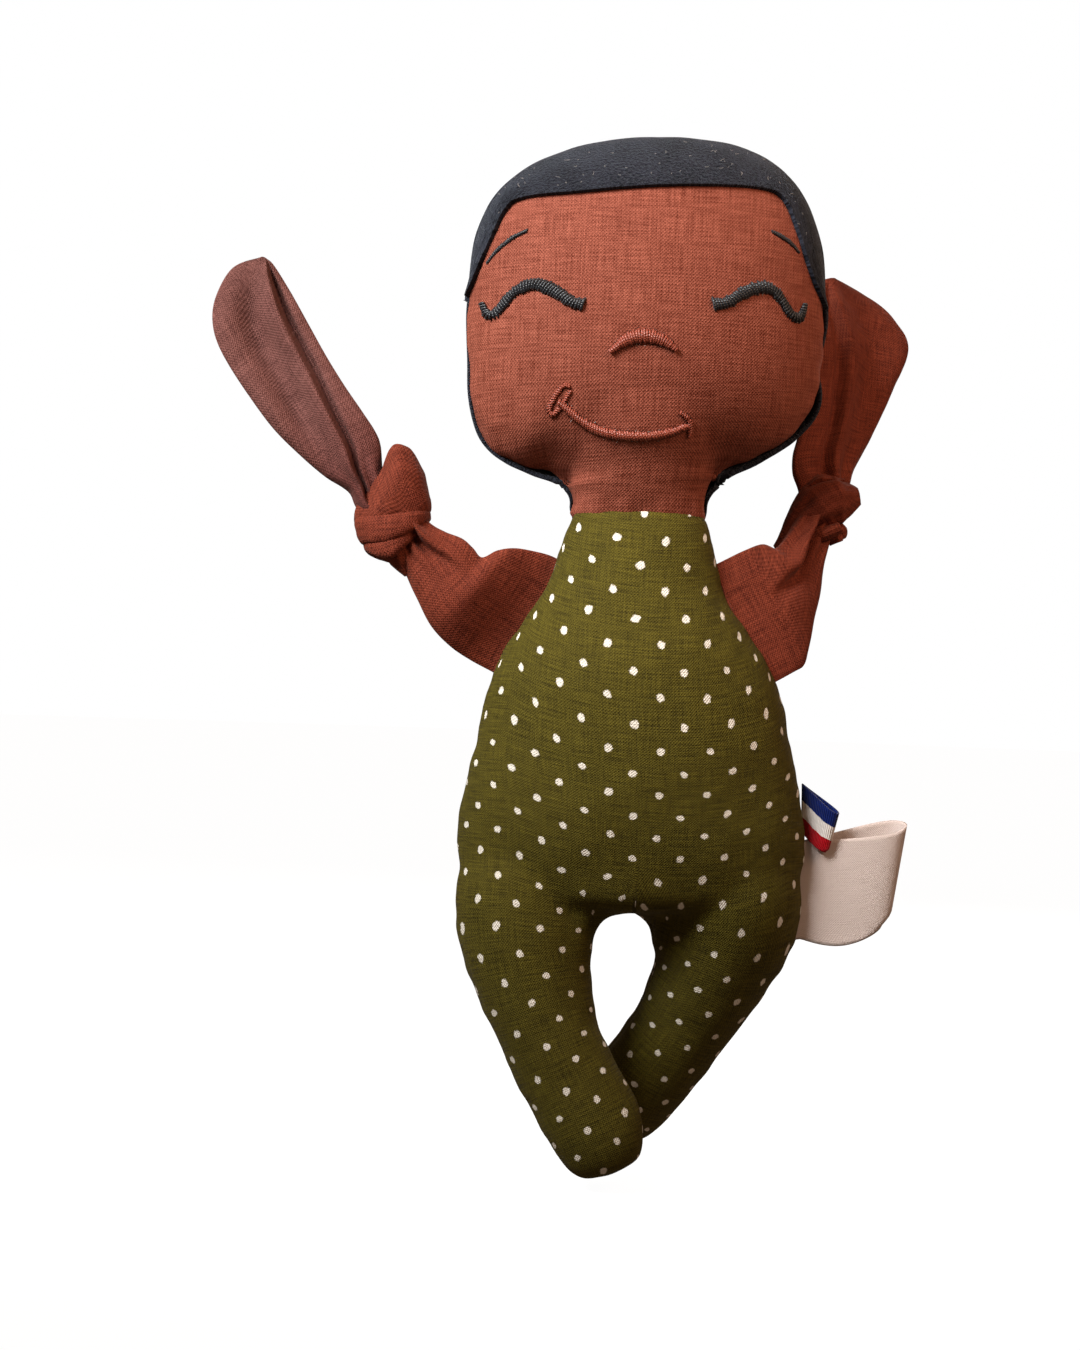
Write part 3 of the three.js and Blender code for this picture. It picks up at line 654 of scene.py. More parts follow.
def head_half_width(z):
    rise = np.clip((z - HEAD_MIDDLE_Z) / HEAD_HALF_HEIGHT, 0, 1)
    crown = HEAD_HALF_WIDTH * (1 - rise**CROWN_FULLNESS) ** (1 / CROWN_FULLNESS)
    return np.where(z < HEAD_MIDDLE_Z, jaw_width(z), crown)


def head_depth(x, z):
    """How far the stuffed head stands out from its seam plane."""
    width = np.maximum(head_half_width(z), 1e-6)
    rise = np.clip(np.abs(z - HEAD_MIDDLE_Z) / HEAD_HALF_HEIGHT, 0, 1)
    fullness = np.where(z < HEAD_MIDDLE_Z, CHIN_FULLNESS, DEPTH_FULLNESS)
    swell = HEAD_HALF_DEPTH * (1 - rise**fullness) ** (1 / fullness)
    share = np.clip(np.abs(x) / width, 0, 1)
    cheek = swell * (1 - share**2) ** (PILLOW / 2)
    neck_width = np.minimum(width, NECK_HALF_WIDTH + 1)
    neck = neck_swell(z) * np.sqrt(np.clip(1 - (x / neck_width) ** 2, 0, 1))
    return soft_max(cheek, neck, CHIN_SOFTNESS * (1 - share**4))


def tilted(points):
    """The sewn head isn't even: jaw and crown sit lower on the doll's right, and its left is narrower."""
    x, y, z = np.moveaxis(points, -1, 0)
    aside = x / HEAD_HALF_WIDTH
    jaw = JAW_TILT * aside * smooth(*JAW_TILT_TOP, z) * smooth(*JAW_TILT_FOOT, z)
    crown = CROWN_TILT * np.clip(2 * aside, -1, 1) * smooth(*CROWN_TILT_Z, z)
    crown = crown - CROWN_FLATTENING * smooth(*CROWN_FLATTENING_Z, z)
    narrow = 1 - LEFT_NARROWING * smooth(0.55, 1, aside) * smooth(*LEFT_NARROWING_Z, z)
    return joined(x * narrow + NECK_SHIFT * smooth(*NECK_SHIFT_Z, z), y, z + jaw + crown)


def head_place(shares):
    wide, high = np.asarray(shares, float).T
    return joined(wide * HEAD_HALF_WIDTH, CHIN_Z + high * 2 * HEAD_HALF_HEIGHT)


hairline = spline(head_place(HAIRLINE), 241)


def hairline_z(x):
    return np.interp(x, hairline[:, 0], hairline[:, 1])


def head_grid(heights, turns, way):
    """Points of one half of the head: way is -1 for its front and 1 for its back."""
    x = head_half_width(heights) * np.cos(turns)
    z = heights + 0 * x
    return joined(x, way * head_depth(x, z), z)


def face_panel():
    """The linen front, drawn in with small gathers along its seam."""
    heights = np.linspace(NECK_SEAM_Z, FACE_TOP_Z, 170)[:, None]
    turns = np.linspace(math.pi, 0, 121)[None]
    tuck = 1 - NECK_TUCK * (1 - smooth(NECK_SEAM_Z, NECK_SEAM_Z + 1.4, heights))
    base = head_grid(heights, turns, -1)
    x, _, z = np.moveaxis(base, -1, 0)
    points = base * joined(tuck, tuck, 1)
    edge = np.abs(np.cos(turns)) ** 10
    pleats = bell(heights, NECK_SEAM_Z + 1, 3.5)
    height = SIDE_GATHER * edge * lumps(points, 5.0, 3.1)
    height += NECK_PLEAT * pleats * lumps(points * (1, 1, 0.25), 2.6, 7.7)
    beside = bell(z, PUCKER_Z, PUCKER_REACH)
    height -= sum(deep * bell(x, at, PUCKER_REACH) * beside for at, deep in JAW_PUCKERS)
    points += normals(points) * height[..., None]
    across = lengths(points, 1)
    flat = joined(across - across[:, 60:61], z)
    keep = z[:-1, :-1] < hairline_z(x[:-1, :-1]) + HAIR_OVERLAP
    obj = thicken(Skin().grid(tilted(points), flat, keep=keep).object("face_linen"), LINEN)
    return dress(obj, RUST_LINEN, "rust_linen", "face_panel", "head_stuffing")


def hair_front():
    """The felt strip between the hairline and the seam over the crown."""
    start = math.asin((hairline[0, 1] - HEAD_MIDDLE_Z) / HEAD_HALF_HEIGHT)
    rise = np.linspace(start, math.pi / 2, 60)
    z = HEAD_MIDDLE_Z + HEAD_HALF_HEIGHT * np.sin(rise)
    right_side = joined(-head_half_width(z), z)
    outline = spline(np.vstack([right_side, (right_side * (-1, 1))[-2::-1]]), 161)
    edge = spline(hairline, 161)
    share = np.sin(np.linspace(0, math.pi / 2, 40))[:, None, None]
    place = edge + (outline - edge) * share
    x, z = place[..., 0], place[..., 1]
    depth = head_depth(x, z)
    depth[-1] = -CROWN_OVERLAP
    base = joined(x, -depth, z)
    proud = FELT_PROUD * (1 - 0.8 * smooth(0.3, 1.0, share[..., 0]))
    points = base + normals(base) * (proud + FELT_LUMP * lumps(base, 6.0, 9.0))[..., None]
    flat = joined(x, lengths(points, 0))
    obj = thicken(Skin().grid(tilted(points), flat).object("hair_front_felt"), FELT, bevel=FELT_BEVEL)
    return dress(obj, BLACK_FELT, "black_felt", "hair_front")


def hair_back():
    """The felt back of the head. Its edge stands out past the face as a dark rim."""
    lower = np.linspace(NECK_SEAM_Z, HEAD_MIDDLE_Z, 100)
    upper = HEAD_MIDDLE_Z + HEAD_HALF_HEIGHT * np.sin(np.linspace(0, math.pi / 2, 70))[1:]
    heights = np.r_[lower, upper][:, None]
    turns = np.linspace(0, math.pi, 121)[None]
    base = head_grid(heights, turns, 1)
    tuck = smooth(NECK_SEAM_Z - 0.5, NECK_SEAM_Z + 3, heights)
    flare = smooth(NECK_SEAM_Z + 2.5, NECK_SEAM_Z + 9, heights)
    ripple = RIM_RIPPLE * np.sin(heights / RIM_RIPPLE_LENGTH)
    rim = (RIM * (1 - smooth(*RIM_FADES_Z, heights)) + ripple) * flare
    rim = rim * (1 + RIM_LEFT_EXTRA * smooth(0, 1, np.cos(turns)))
    rim = np.where(heights > HEAD_MIDDLE_Z, 0, rim)
    spread = FELT_EASE * tuck + rim * np.abs(np.cos(turns)) ** 16
    points = base + normals(base) * (spread + FELT_LUMP * lumps(base, 6.0, 5.0) * tuck)[..., None]
    drawn = 1 - NECK_TUCK * (1 - tuck)
    points *= joined(drawn, drawn, 1)
    lip = RIM_LIP * FORWARD * flare[..., None]
    inward = np.array([RIM_TURN_IN, 0, 0])
    first, last = points[:, :1], points[:, -1:]
    points = np.concatenate(
        [first + 1.6 * lip - inward, first + lip, points, last + lip, last + 1.6 * lip + inward], axis=1)
    across = lengths(points, 1)
    flat = joined(across - across[:, 62:63], heights)
    obj = thicken(Skin().grid(tilted(points), flat).object("hair_back_felt"), FELT)
    return dress(obj, BLACK_FELT, "black_felt", "hair_back")


def face_points(place, lift):
    """Points a little above the face at (x, z) places, along the face's own normal."""
    step = 0.2
    x, z = place[..., 0], place[..., 1]
    across = (head_depth(x + step, z) - head_depth(x - step, z)) / (2 * step)
    upward = (head_depth(x, z + step) - head_depth(x, z - step)) / (2 * step)
    outward = unit(joined(-across, -1, -upward))
    surface = joined(x, -head_depth(x, z), z)
    return tilted(surface + outward * np.asarray(lift)[..., None])


def satin(skin, shares, slant, width, profile, radius, pad, spacing):
    """Threads laid close together across a stroke, padded in the middle. Returns where they lie.

    profile gives the stroke's width along it, in shares of the full width. spacing is in radii.
    """
    path = head_place(shares)
    count = int(lengths(spline(path, 200), 0)[-1] / (spacing * radius))
    centres = spline(path, count)
    along = unit(np.gradient(centres, axis=0))
    share = np.linspace(0, 1, count)
    fullness = np.interp(share, np.linspace(0, 1, len(profile)), profile)
    turn = math.radians(90 + slant) + rng.normal(0, THREAD_SWAY, count)
    across = joined(along[:, 0] * np.cos(turn) - along[:, 1] * np.sin(turn),
                    along[:, 0] * np.sin(turn) + along[:, 1] * np.cos(turn))
    half = 0.5 * width * fullness * (1 + THREAD_UNEVEN * rng.standard_normal(count))
    reach = np.linspace(-1, 1, 7)[None, :, None]
    place = centres[:, None] + across[:, None] * half[:, None, None] * reach
    lift = THREAD_LIFT + pad * (1 - reach[..., 0] ** 2)
    lift = lift + THREAD_LIFT_VARIES * rng.standard_normal((count, 1))
    tubes(skin, face_points(place, lift), radius)
    return place


def stray_fibres(skin, place, share):
    """Pale ends of backing fibre that show beside some stitches."""
    ends = np.concatenate([place[:, 0], place[:, -1]])
    chosen = ends[rng.random(len(ends)) < share]
    drift = rng.normal(0, 0.25, (len(chosen), 3, 2)).cumsum(axis=1) * 0.6
    tubes(skin, face_points(chosen[:, None] + drift, FIBRE_LIFT), FIBRE_RADIUS, sides=4)


def needle_holes(skin, place, share):
    """Needle holes at the ends of some threads, drawn as near-black plugs in the linen: painted shade in
    place of each hole's hollow.
    """
    past = 1 + HOLE_PAST_END
    starts = place[:, 0] * past - place[:, 1] * HOLE_PAST_END
    ends = place[:, -1] * past - place[:, -2] * HOLE_PAST_END
    pricks = np.concatenate([starts, ends])
    chosen = pricks[rng.random(len(pricks)) < share]
    place = np.repeat(chosen[:, None], 2, axis=1)
    tubes(skin, face_points(place, HOLE_ENDS), HOLE_RADIUS, sides=6, taper=1.0)


def hair_lint():
    """Specks of pale fluff on the felt."""
    x = rng.uniform(-LINT_HALF_SPAN, LINT_HALF_SPAN, LINT_COUNT)
    crown = HEAD_MIDDLE_Z + HEAD_HALF_HEIGHT * (1 - (np.abs(x) / HEAD_HALF_WIDTH) ** CROWN_FULLNESS) ** 0.4
    z = hairline_z(x) + rng.uniform(0.12, 0.75, LINT_COUNT) * (crown - hairline_z(x))
    drift = rng.normal(0, 0.2, (LINT_COUNT, 4, 2)).cumsum(axis=1)
    place = joined(x, z)[:, None] + drift
    return tubes(Skin(), face_points(place, FELT_PROUD + LINT_LIFT), LINT_RADIUS, sides=4)


def stitched_face():
    pieces = []
    fibres, holes = Skin(), Skin()

    def finished(skin, name, material, slot, *nodes):
        pieces.append(dress(skin.object(name), material, slot, *nodes))

    for name, side in SIDE.items():
        eye, brow = Skin(), Skin()
        laid = satin(eye, EYE[name], EYE_SLANT * side, **STITCHES["eye"])
        stray_fibres(fibres, laid, 0.3)
        finished(eye, f"{name}_eye_thread", BLACK_THREAD, "black_thread", f"{name}_eye")
        satin(brow, BROW[name], BROW_SLANT * side, **STITCHES["brow"])
        finished(brow, f"{name}_brow_thread", BLACK_THREAD, "black_thread", f"{name}_brow")
    nose, mouth = Skin(), Skin()
    laid = satin(nose, NOSE, 0, **STITCHES["nose"])
    needle_holes(holes, laid, 0.6)
    stray_fibres(fibres, laid[:, ::-1], 0.4)
    finished(nose, "nose_thread", RUST_THREAD, "rust_thread", "nose")
    laid = satin(mouth, SMILE, MOUTH_SLANT, **STITCHES["smile"])
    needle_holes(holes, laid, 0.5)
    stray_fibres(fibres, laid, 0.6)
    for dimple in (RIGHT_DIMPLE, LEFT_DIMPLE):
        laid = satin(mouth, dimple, MOUTH_SLANT, **STITCHES["dimple"])
        needle_holes(holes, laid, 0.5)
    finished(mouth, "mouth_thread", RUST_THREAD, "rust_thread", "mouth")
    # The needle holes' plugs carry painted shade
    finished(holes, "needle_holes", HOLE_SHADE_LINEN, "rust_linen")
    finished(fibres, "face_lint", LINT, "fibre_fill")
    finished(hair_lint(), "hair_lint", LINT, "fibre_fill")
    return pieces


def bend_at_neck(piece):
    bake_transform(piece)


def head():
    for piece in [hair_front(), *stitched_face()]:
        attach(piece, "head")
    for piece in (face_panel(), hair_back()):
        bend_at_neck(piece)


# Body and legs

def pillow_ring(centre, across, half_width, half_depth, sides=72):
    angles = around(sides)
    wide = np.cos(angles)[:, None] * half_width
    deep = np.sin(angles)[:, None] * half_depth
    return centre + across * wide - FORWARD * deep


class Leg:
    """The spine of a leg, its girth along it, and the turn that poses it."""

    def __init__(self, name):
        self.side = SIDE[name]
        self.spine = spline([(self.side * x, 0, z) for x, z in LEGS[name]["spine"]], 61)
        self.along = unit(np.gradient(self.spine, axis=0))
        girth = spline(LEG_GIRTH, 300)
        share = np.linspace(0, 1, 61)
        self.half_width = np.interp(share, girth[:, 2], girth[:, 0])
        self.half_depth = np.interp(share, girth[:, 2], girth[:, 1])
        pivot = Matrix.Translation((0, 0, HIP_Z))
        turn = Matrix.Rotation(math.radians(LEGS[name]["turn"]), 4, "X")
        self.turn = np.array(pivot @ turn @ pivot.inverted())

    def rings(self):
        across = np.cross(-FORWARD, self.along)
        rows = zip(self.spine, across, self.half_width, self.half_depth)
        return moved(np.stack([pillow_ring(*row) for row in rows]), self.turn)

    def cloth(self, points):
        """Flat coordinates along the leg, how near each point is, and how far behind the leg's seam."""
        local = moved(points, np.linalg.inv(self.turn))
        gap = np.linalg.norm(local[:, None] - self.spine[None], axis=2)
        gap /= np.maximum(self.half_width, 4)[None]
        nearest = gap.argmin(axis=1)
        along = self.along[nearest]
        offset = local - self.spine[nearest]
        aside = offset[:, 2] * along[:, 0] - offset[:, 0] * along[:, 2]
        run = lengths(self.spine, 0)[nearest] + (offset * along).sum(axis=1)
        width, depth = (np.maximum(girth[nearest], 2.0) for girth in (self.half_width, self.half_depth))
        across = LEG_STRETCH * seam_share(aside, local[:, 1], width, depth, LEG_ROUND)
        flat = joined(self.side * LEG_PRINT_START[0] + across, LEG_PRINT_START[1] - LEG_STRETCH * run)
        return flat, gap.min(axis=1), local[:, 1]


def moved(points, matrix):
    return points @ matrix[:3, :3].T + matrix[:3, 3]


legs = {name: Leg(name) for name in SIDE}


def crotch_arch():
    """A ring of stuffing round the arch, from the front leg to the back one."""
    angles = np.radians(np.linspace(*ARCH_ENDS, 40))
    middle = np.array([ARCH_AT[0], 0, ARCH_AT[1]])
    rings = []
    for angle in angles:
        outward = np.array([math.cos(angle), 0, math.sin(angle)])
        centre = middle + outward * (ARCH_RADIUS + ARCH_CLOTH)
        centre[1] = ARCH_BACK + ARCH_SLANT * (centre[0] - ARCH_AT[0])
        rings.append(pillow_ring(centre, outward, ARCH_CLOTH, ARCH_HALF_DEPTH))
    return np.stack(rings)


def trunk_shift(z):
    """How far the chest sits to the doll's right of the belly."""
    return NECK_SHIFT * smooth(*CHEST_SHIFT_Z, z)


def stuffed_body():
    """Trunk and both legs as one smooth skin, with a round arch between the legs."""
    skin = Skin()
    trunk = spline(TRUNK, 90)[::-1]
    level = np.array([1.0, 0, 0])
    rings = [pillow_ring(np.array([trunk_shift(z), 0, z]), level, w, d) for w, d, z in trunk]
    skin.grid(np.stack(rings), wrap=True, ends=True)
    for leg in legs.values():
        skin.grid(leg.rings(), wrap=True, ends=True)
    skin.grid(crotch_arch(), wrap=True, ends=True)
    obj = tidy(skin.object("body_cotton"))
    configured(obj.modifiers.new("merge", "REMESH"), mode="VOXEL", voxel_size=VOXEL * MM)
    configured(obj.modifiers.new("relax", "SMOOTH"), factor=0.5, iterations=RELAX_STEPS)
    return settle(obj)


def vertices(mesh):
    points = np.empty(len(mesh.vertices) * 3)
    mesh.vertices.foreach_get("co", points)
    return points.reshape(-1, 3) / MM


def seam_share(x, y, width, depth, ratio):
    """Arc length from the middle of a ring to a point on it.

    ratio is the cloth's own depth for its width.
    """
    angles = np.linspace(0, math.pi / 2, 200)
    ring = joined(np.sin(angles), ratio * np.cos(angles))
    share, rise = np.abs(x) / width, np.abs(y) / depth
    at_seam = smooth(0.5, 0.1, rise) * smooth(0.6, 0.85, share)
    angle = np.arcsin(np.minimum(share, 1)) * (1 - at_seam) + np.arctan2(share, rise) * at_seam
    return np.sign(x) * width * (np.interp(angle, angles, lengths(ring, 0)) + np.maximum(share - 1, 0))


def body_cloth(points):
    """Flat cloth coordinates of the body, the leg of each point, and how far it lies behind the seam."""
    x, y, z = points.T
    trunk = spline(TRUNK, 300)[::-1]
    width, depth = (np.interp(np.maximum(z, WIDEST_Z), trunk[:, 2], column) for column in trunk.T[:2])
    aside = x - trunk_shift(z)
    chest = smooth(*CHEST_PRINT_Z, z)
    shares = ((1 - chest, BELLY_ROUND), (chest, CHEST_ROUND))
    u = sum(share * seam_share(aside, y, width, depth, ratio) for share, ratio in shares)
    u = u * (1 + BELLY_STRETCH * smooth(*BELLY_STRETCH_Z, z))
    lean = COLUMN_LEAN * z - CHEST_LEAN * np.maximum(z - CHEST_LEAN_FROM_Z, 0)
    run = z - UNDERSIDE_STRETCH * np.maximum(UNDERSIDE_FROM_Z - z, 0)
    on_trunk = joined(u + lean, run)
    sag = ROW_SAG * np.clip(u - ROW_MIDDLE, -SAG_REACH, SAG_REACH) ** 2 * smooth(*SAG_ENDS_Z, z)
    right, right_gap, right_back = legs["right"].cloth(points)
    left, left_gap, left_back = legs["left"].cloth(points)
    is_left = left_gap < right_gap
    on_leg = np.where(is_left[:, None], left, right)
    behind = np.where(is_left, left_back, right_back)
    share = smooth(*LEG_PRINT_Z, z)
    owner = np.where(z < LEG_CUT_Z, np.where(is_left, SIDE["left"], SIDE["right"]), 0)
    flat = on_trunk * (1 - share[:, None]) + on_leg * share[:, None]
    flat[:, 1] -= sag
    return flat, owner, y * (1 - share) + behind * share


def gathered(points, outward, behind):
    """Lumps of filling, and the drawn-in seam with its gathers, along the body's own normals."""
    height = crumpled(points, *FILLING)
    height += SEAM_GATHER * bell(behind, 0, 4.0) * lumps(points * (1, 0.2, 1), 4.2, 6.0)
    height -= SEAM_GROOVE * bell(behind, 0, 1.1)
    return points + outward * height[:, None]


def split_body(obj):
    """Cuts the finished skin into the trunk and the two legs, which keep its shading across the cut."""
    mesh = obj.data
    count = len(mesh.vertices)
    points = vertices(mesh)
    outward = np.empty(count * 3)
    mesh.vertex_normals.foreach_get("vector", outward)
    flat, leg, behind = body_cloth(points)
    points = gathered(points, outward.reshape(-1, 3), behind)
    mesh.vertices.foreach_set("co", (points * MM).ravel())
    mesh.update()
    mesh.vertex_normals.foreach_get("vector", outward)
    outward = outward.reshape(-1, 3)
    faces = [list(face.vertices) for face in mesh.polygons]
    back = np.array([behind[face].mean() > 0 for face in faces])
    owner = np.array([np.sign(leg[face].sum()) if (leg[face] != 0).all() else 0 for face in faces])
    back_print = flat * (-1, 1) + BACK_PRINT_SHIFT
    made = {}
    for name, side in (("torso", 0), ("right_leg", SIDE["right"]), ("left_leg", SIDE["left"])):
        chosen = np.flatnonzero(owner == side)
        used = np.unique(np.concatenate([faces[i] for i in chosen]))
        place = np.full(count, -1)
        place[used] = np.arange(len(used))
        skin = Skin()
        skin.points = [points[used]]
        skin.faces = [place[faces[i]].tolist() for i in chosen]
        skin.flat = [(back_print if back[i] else flat)[faces[i]] for i in chosen]
        piece = skin.object(f"{name}_cotton")
        edit(piece, lambda work: bmesh.ops.holes_fill(work, edges=work.edges))
        piece.data.normals_split_custom_set_from_vertices(outward[used].tolist())
        made[name] = piece
    bpy.data.objects.remove(obj)
    return made


def body():
    made = split_body(stuffed_body())
    for name, piece in made.items():
        nodes = [f"{name}_{part}" for part in ("front", "back", "stuffing")]
        dress(piece, DOTTED_COTTON, "green_dot_cotton", *nodes)
    bend_at_neck(made["torso"])
    for name in ("right_leg", "left_leg"):
        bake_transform(made[name])


# Arms: cloth tubes drawn in each arm's own plane, as (outward, upward) places from its hinge

SEAM_Z = {"top": 50.0, "bottom": 25.5}
SEAM_SLOPE = 24.4
# A length out from the shoulder's hinge
ARM_BENDS = 7.0
ARMS = {
    "right": {
        "lean": 0.0,
        "sleeve_top": [(-1.5, 11.6), (2, 11.9), (6, 11.4), (9.2, 9.4), (11.5, 6.6), (14, 7.5), (17, 8.3),
                       (21, 8.0), (25, 8.4), (31, 11)],
        "sleeve_bottom": [(-1.5, -14.3), (4.2, -13.9), (9.6, -13), (14.8, -11), (19.7, -7.4), (22.8, -5),
                          (25.5, -2.5), (29, 2)],
        "fold": [(0, 0.5), (0.4, 0.45), (0.7, 0.35), (1, 0.25)],
        "fold_grows": (0.35, 0.9),
        "billow": 5.0,
        "hand_outer": [(33, 4), (38, 3.4), (40.6, 4.6), (42.4, 6.2), (44.6, 6.8), (48.9, 7.2), (55.3, 8.8),
                       (62.8, 11.3), (70.3, 15.1), (77.3, 19.2), (81.7, 22.5), (84.5, 25.9), (86.0, 29.4),
                       (86.5, 33.6), (86.1, 37.4), (84.6, 39.9), (81.6, 42.6)],
        "hand_inner": [(30, 8.5), (35, 10.5), (38.3, 13.5), (41.2, 18.2), (43.5, 20.4), (47.9, 23.0),
                       (53.8, 26.3), (59.9, 30.1), (66.3, 34.5), (72.7, 38.9), (78.4, 42.4), (80.6, 43.0)],
        "ridge": [(0, 0.45), (0.12, 0.3), (0.3, -0.12), (0.55, -0.45), (0.8, -0.5), (1, -0.45)],
        "depth": 1.0,
        # The right flap's cloth carries painted shade and painted sheen along it
        "cloth": "painted_sheen",
    },
    "left": {
        "lean": 40.0,
        "sleeve_top": [(-3, 14.8), (2.8, 14.6), (8, 14.4), (11, 12.6), (15, 13.5), (22, 17)],
        "sleeve_bottom": [(-3, -13.6), (3.7, -13.2), (6.4, -12.8), (8.9, -10.4), (13.7, -5.1), (19, 0),
                          (24, 5.4), (30, 11)],
        "fold": [(0, 0.35), (0.3, 0.22), (0.6, 0.2), (0.8, 0.3), (1, 0.4)],
        "fold_grows": (0.12, 0.6),
        "billow": 1.5,
        "hand_outer": [(37, 15), (43.9, 21), (56.7, 29.2), (67.6, 36.4), (75.6, 41.6), (78.6, 45.2),
                       (78.4, 49.5), (75.5, 55.4), (68.9, 61.5), (64, 64.3)],
        "hand_inner": [(25, 17), (26.9, 22.5), (27.3, 26.5), (29.5, 30.1), (34, 34.5), (42.2, 43.2),
                       (49.6, 53.8), (55.6, 61.4), (61, 65.2)],
        "ridge": [(0, -0.05), (0.3, -0.15), (0.55, -0.3), (1, -0.4)],
        "depth": 0.55,
        "cloth": "plain",
    },
}
# Heights of the sleeve's fold: the cloth that lies over, the groove under it, and the gathers at the knot
SLEEVE_OVER = 2.0
SLEEVE_GROOVE = 1.3
SLEEVE_GATHER = 0.6
# How far inside the trunk's outline the sleeve is sewn in
SLEEVE_SEAM = 1.3
# Heights of the hand's folds: crest, groove beside it, trough, turned rim, gathers at the knot, and fullness
HAND_CREST = 2.5
HAND_GROOVE = 2.2
HAND_TROUGH = 2.6
HAND_RIM = 1.6
HAND_GATHER = 0.5
HAND_FULLNESS = 0.6
# Crumples of each piece of cloth, as (height, size, seed)
SLEEVE_CRUMPLE = (0.3, 7.0, 8.0)
TURN_CRUMPLES = [(0.35, 4.5, 1.7), (0.15, 1.8, 3.7)]
ROLL_CRUMPLE = (0.3, 3.5, 2.2)
HAND_CRUMPLES = [(0.35, 9.0, 12.0), (0.15, 4.0, 14.0)]
trunk_rim = table([(z, w) for w, _, z in TRUNK[::-1] if z > -20])


class ArmPlane:
    """The plane that an arm lies in: out from the side seam, up along it, and towards the front."""

    def __init__(self, name, lean):
        self.name = name
        self.side = SIDE[name]
        self.base = HINGE[f"{name}_arm_swing"]
        slope = math.radians(SEAM_SLOPE)
        self.up = np.array([-self.side * math.sin(slope), 0, math.cos(slope)])
        self.level = np.cross(-FORWARD, self.up) * self.side
        turn = math.radians(lean)
        self.out = self.level * math.cos(turn) - FORWARD * math.sin(turn)
        self.front = self.level * math.sin(turn) + FORWARD * math.cos(turn)

    def at(self, place, forward=0.0):
        place = np.asarray(place, float)
        forward = np.asarray(forward, float)[..., None]
        return self.base + place[..., :1] * self.out + place[..., 1:2] * self.up + forward * self.front


def flat_tube(top, bottom, rows, columns, thickness, fold):
    """A flattened tube between two edges, as (outward, upward) places and a forward offset."""
    upper, lower = spline(top, rows), spline(bottom, rows)
    angles = around(columns)
    share = np.linspace(0, 1, rows)[:, None]
    across = np.cos(angles)[None]
    place = (upper + lower)[:, None] / 2 + (upper - lower)[:, None] / 2 * across[..., None]
    bulge = rounded(np.sin(angles), 0.7)
    return place, fold(share, across) + bulge * thickness(share), across, share


def sleeve(plane, arm):
    fold_at = table(arm["fold"])

    def thickness(share):
        return 0.7 + 1.3 * smooth(0, 0.4, share) + 1.2 * smooth(0.6, 1, share)

    def fold(share, across):
        line = fold_at(share)
        over = SLEEVE_OVER * smooth(-0.07, 0.07, across - line) * bell(across, line + 0.08, 0.5)
        under = -SLEEVE_GROOVE * bell(across, line - 0.12, 0.17)
        gather = SLEEVE_GATHER * np.cos(11 * across + 1.0) * smooth(0.5, 1, share)
        top = 0.28 + 0.08 * (1 - across)
        swell = arm["billow"] * smooth(0, top, share) * (1 - smooth(top, 1.1, share))
        folds = (over + under) * smooth(*arm["fold_grows"], share)
        return folds + gather + swell * (1 - 0.35 * across**2)

    edges = arm["sleeve_top"], arm["sleeve_bottom"]
    place, forward, across, share = flat_tube(*edges, 80, 128, thickness, fold)
    points = plane.at(place, forward)
    z = np.interp(across, (-1, 1), (SEAM_Z["bottom"], SEAM_Z["top"]))
    root = joined(trunk_shift(z) + plane.side * (trunk_rim(z) - SLEEVE_SEAM), 0, z)
    drawn = (1 - smooth(0, 0.3, share)) ** 1.5
    points += (root - points[:1]) * (1, 0, 1) * drawn[..., None]
    points += plane.front * (crumpled(points, SLEEVE_CRUMPLE) * smooth(0.02, 0.2, share))[..., None]
    piece = tidy(Skin().grid(points, wrap=True, ends=True).object(f"{plane.name}_sleeve"))
    dress(piece, RUST_COTTON, "rust_cotton", f"{plane.name}_arm")
    plane.at((0, 0)) * MM
    plane.at((ARM_BENDS, 0)) * MM
    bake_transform(piece)


def knot_turn(skin, axes, edges, deep, thick, shut=0.0):
    """One turn of cloth round a knot. edges gives (across, low, high) from one side of it to the other.

    shut is how far the upper lips lean together.
    """
    origin, axis, aside = axes
    edge_at = table(edges)
    middle, half = (edges[-1][0] + edges[0][0]) / 2, (edges[-1][0] - edges[0][0]) / 2
    angles = around(120)[:, None]
    section = around(32)[None]
    low, high = edge_at(middle + half * np.cos(angles))
    high = high - KNOT_BACK_DROP * (high - low) * smooth(0, 1, -np.sin(angles))
    rise = (low + high) / 2 + (high - low) / 2 * rounded(np.sin(section), 0.8)
    out = thick * rounded(np.cos(section), 0.7) - thick
    lean = shut * smooth(high - KNOT_LIP, high + 0.5, rise)
    points = (origin + axis * rise[..., None]
              + aside * (middle + (half + out) * np.cos(angles))[..., None]
              + FORWARD * ((deep + out - lean) * np.sin(angles))[..., None])
    points += unit(points - origin) * crumpled(points, *TURN_CRUMPLES)[..., None]
    points = np.concatenate([points, points[:1]])
    skin.grid(points[:, ::-1], wrap=True)


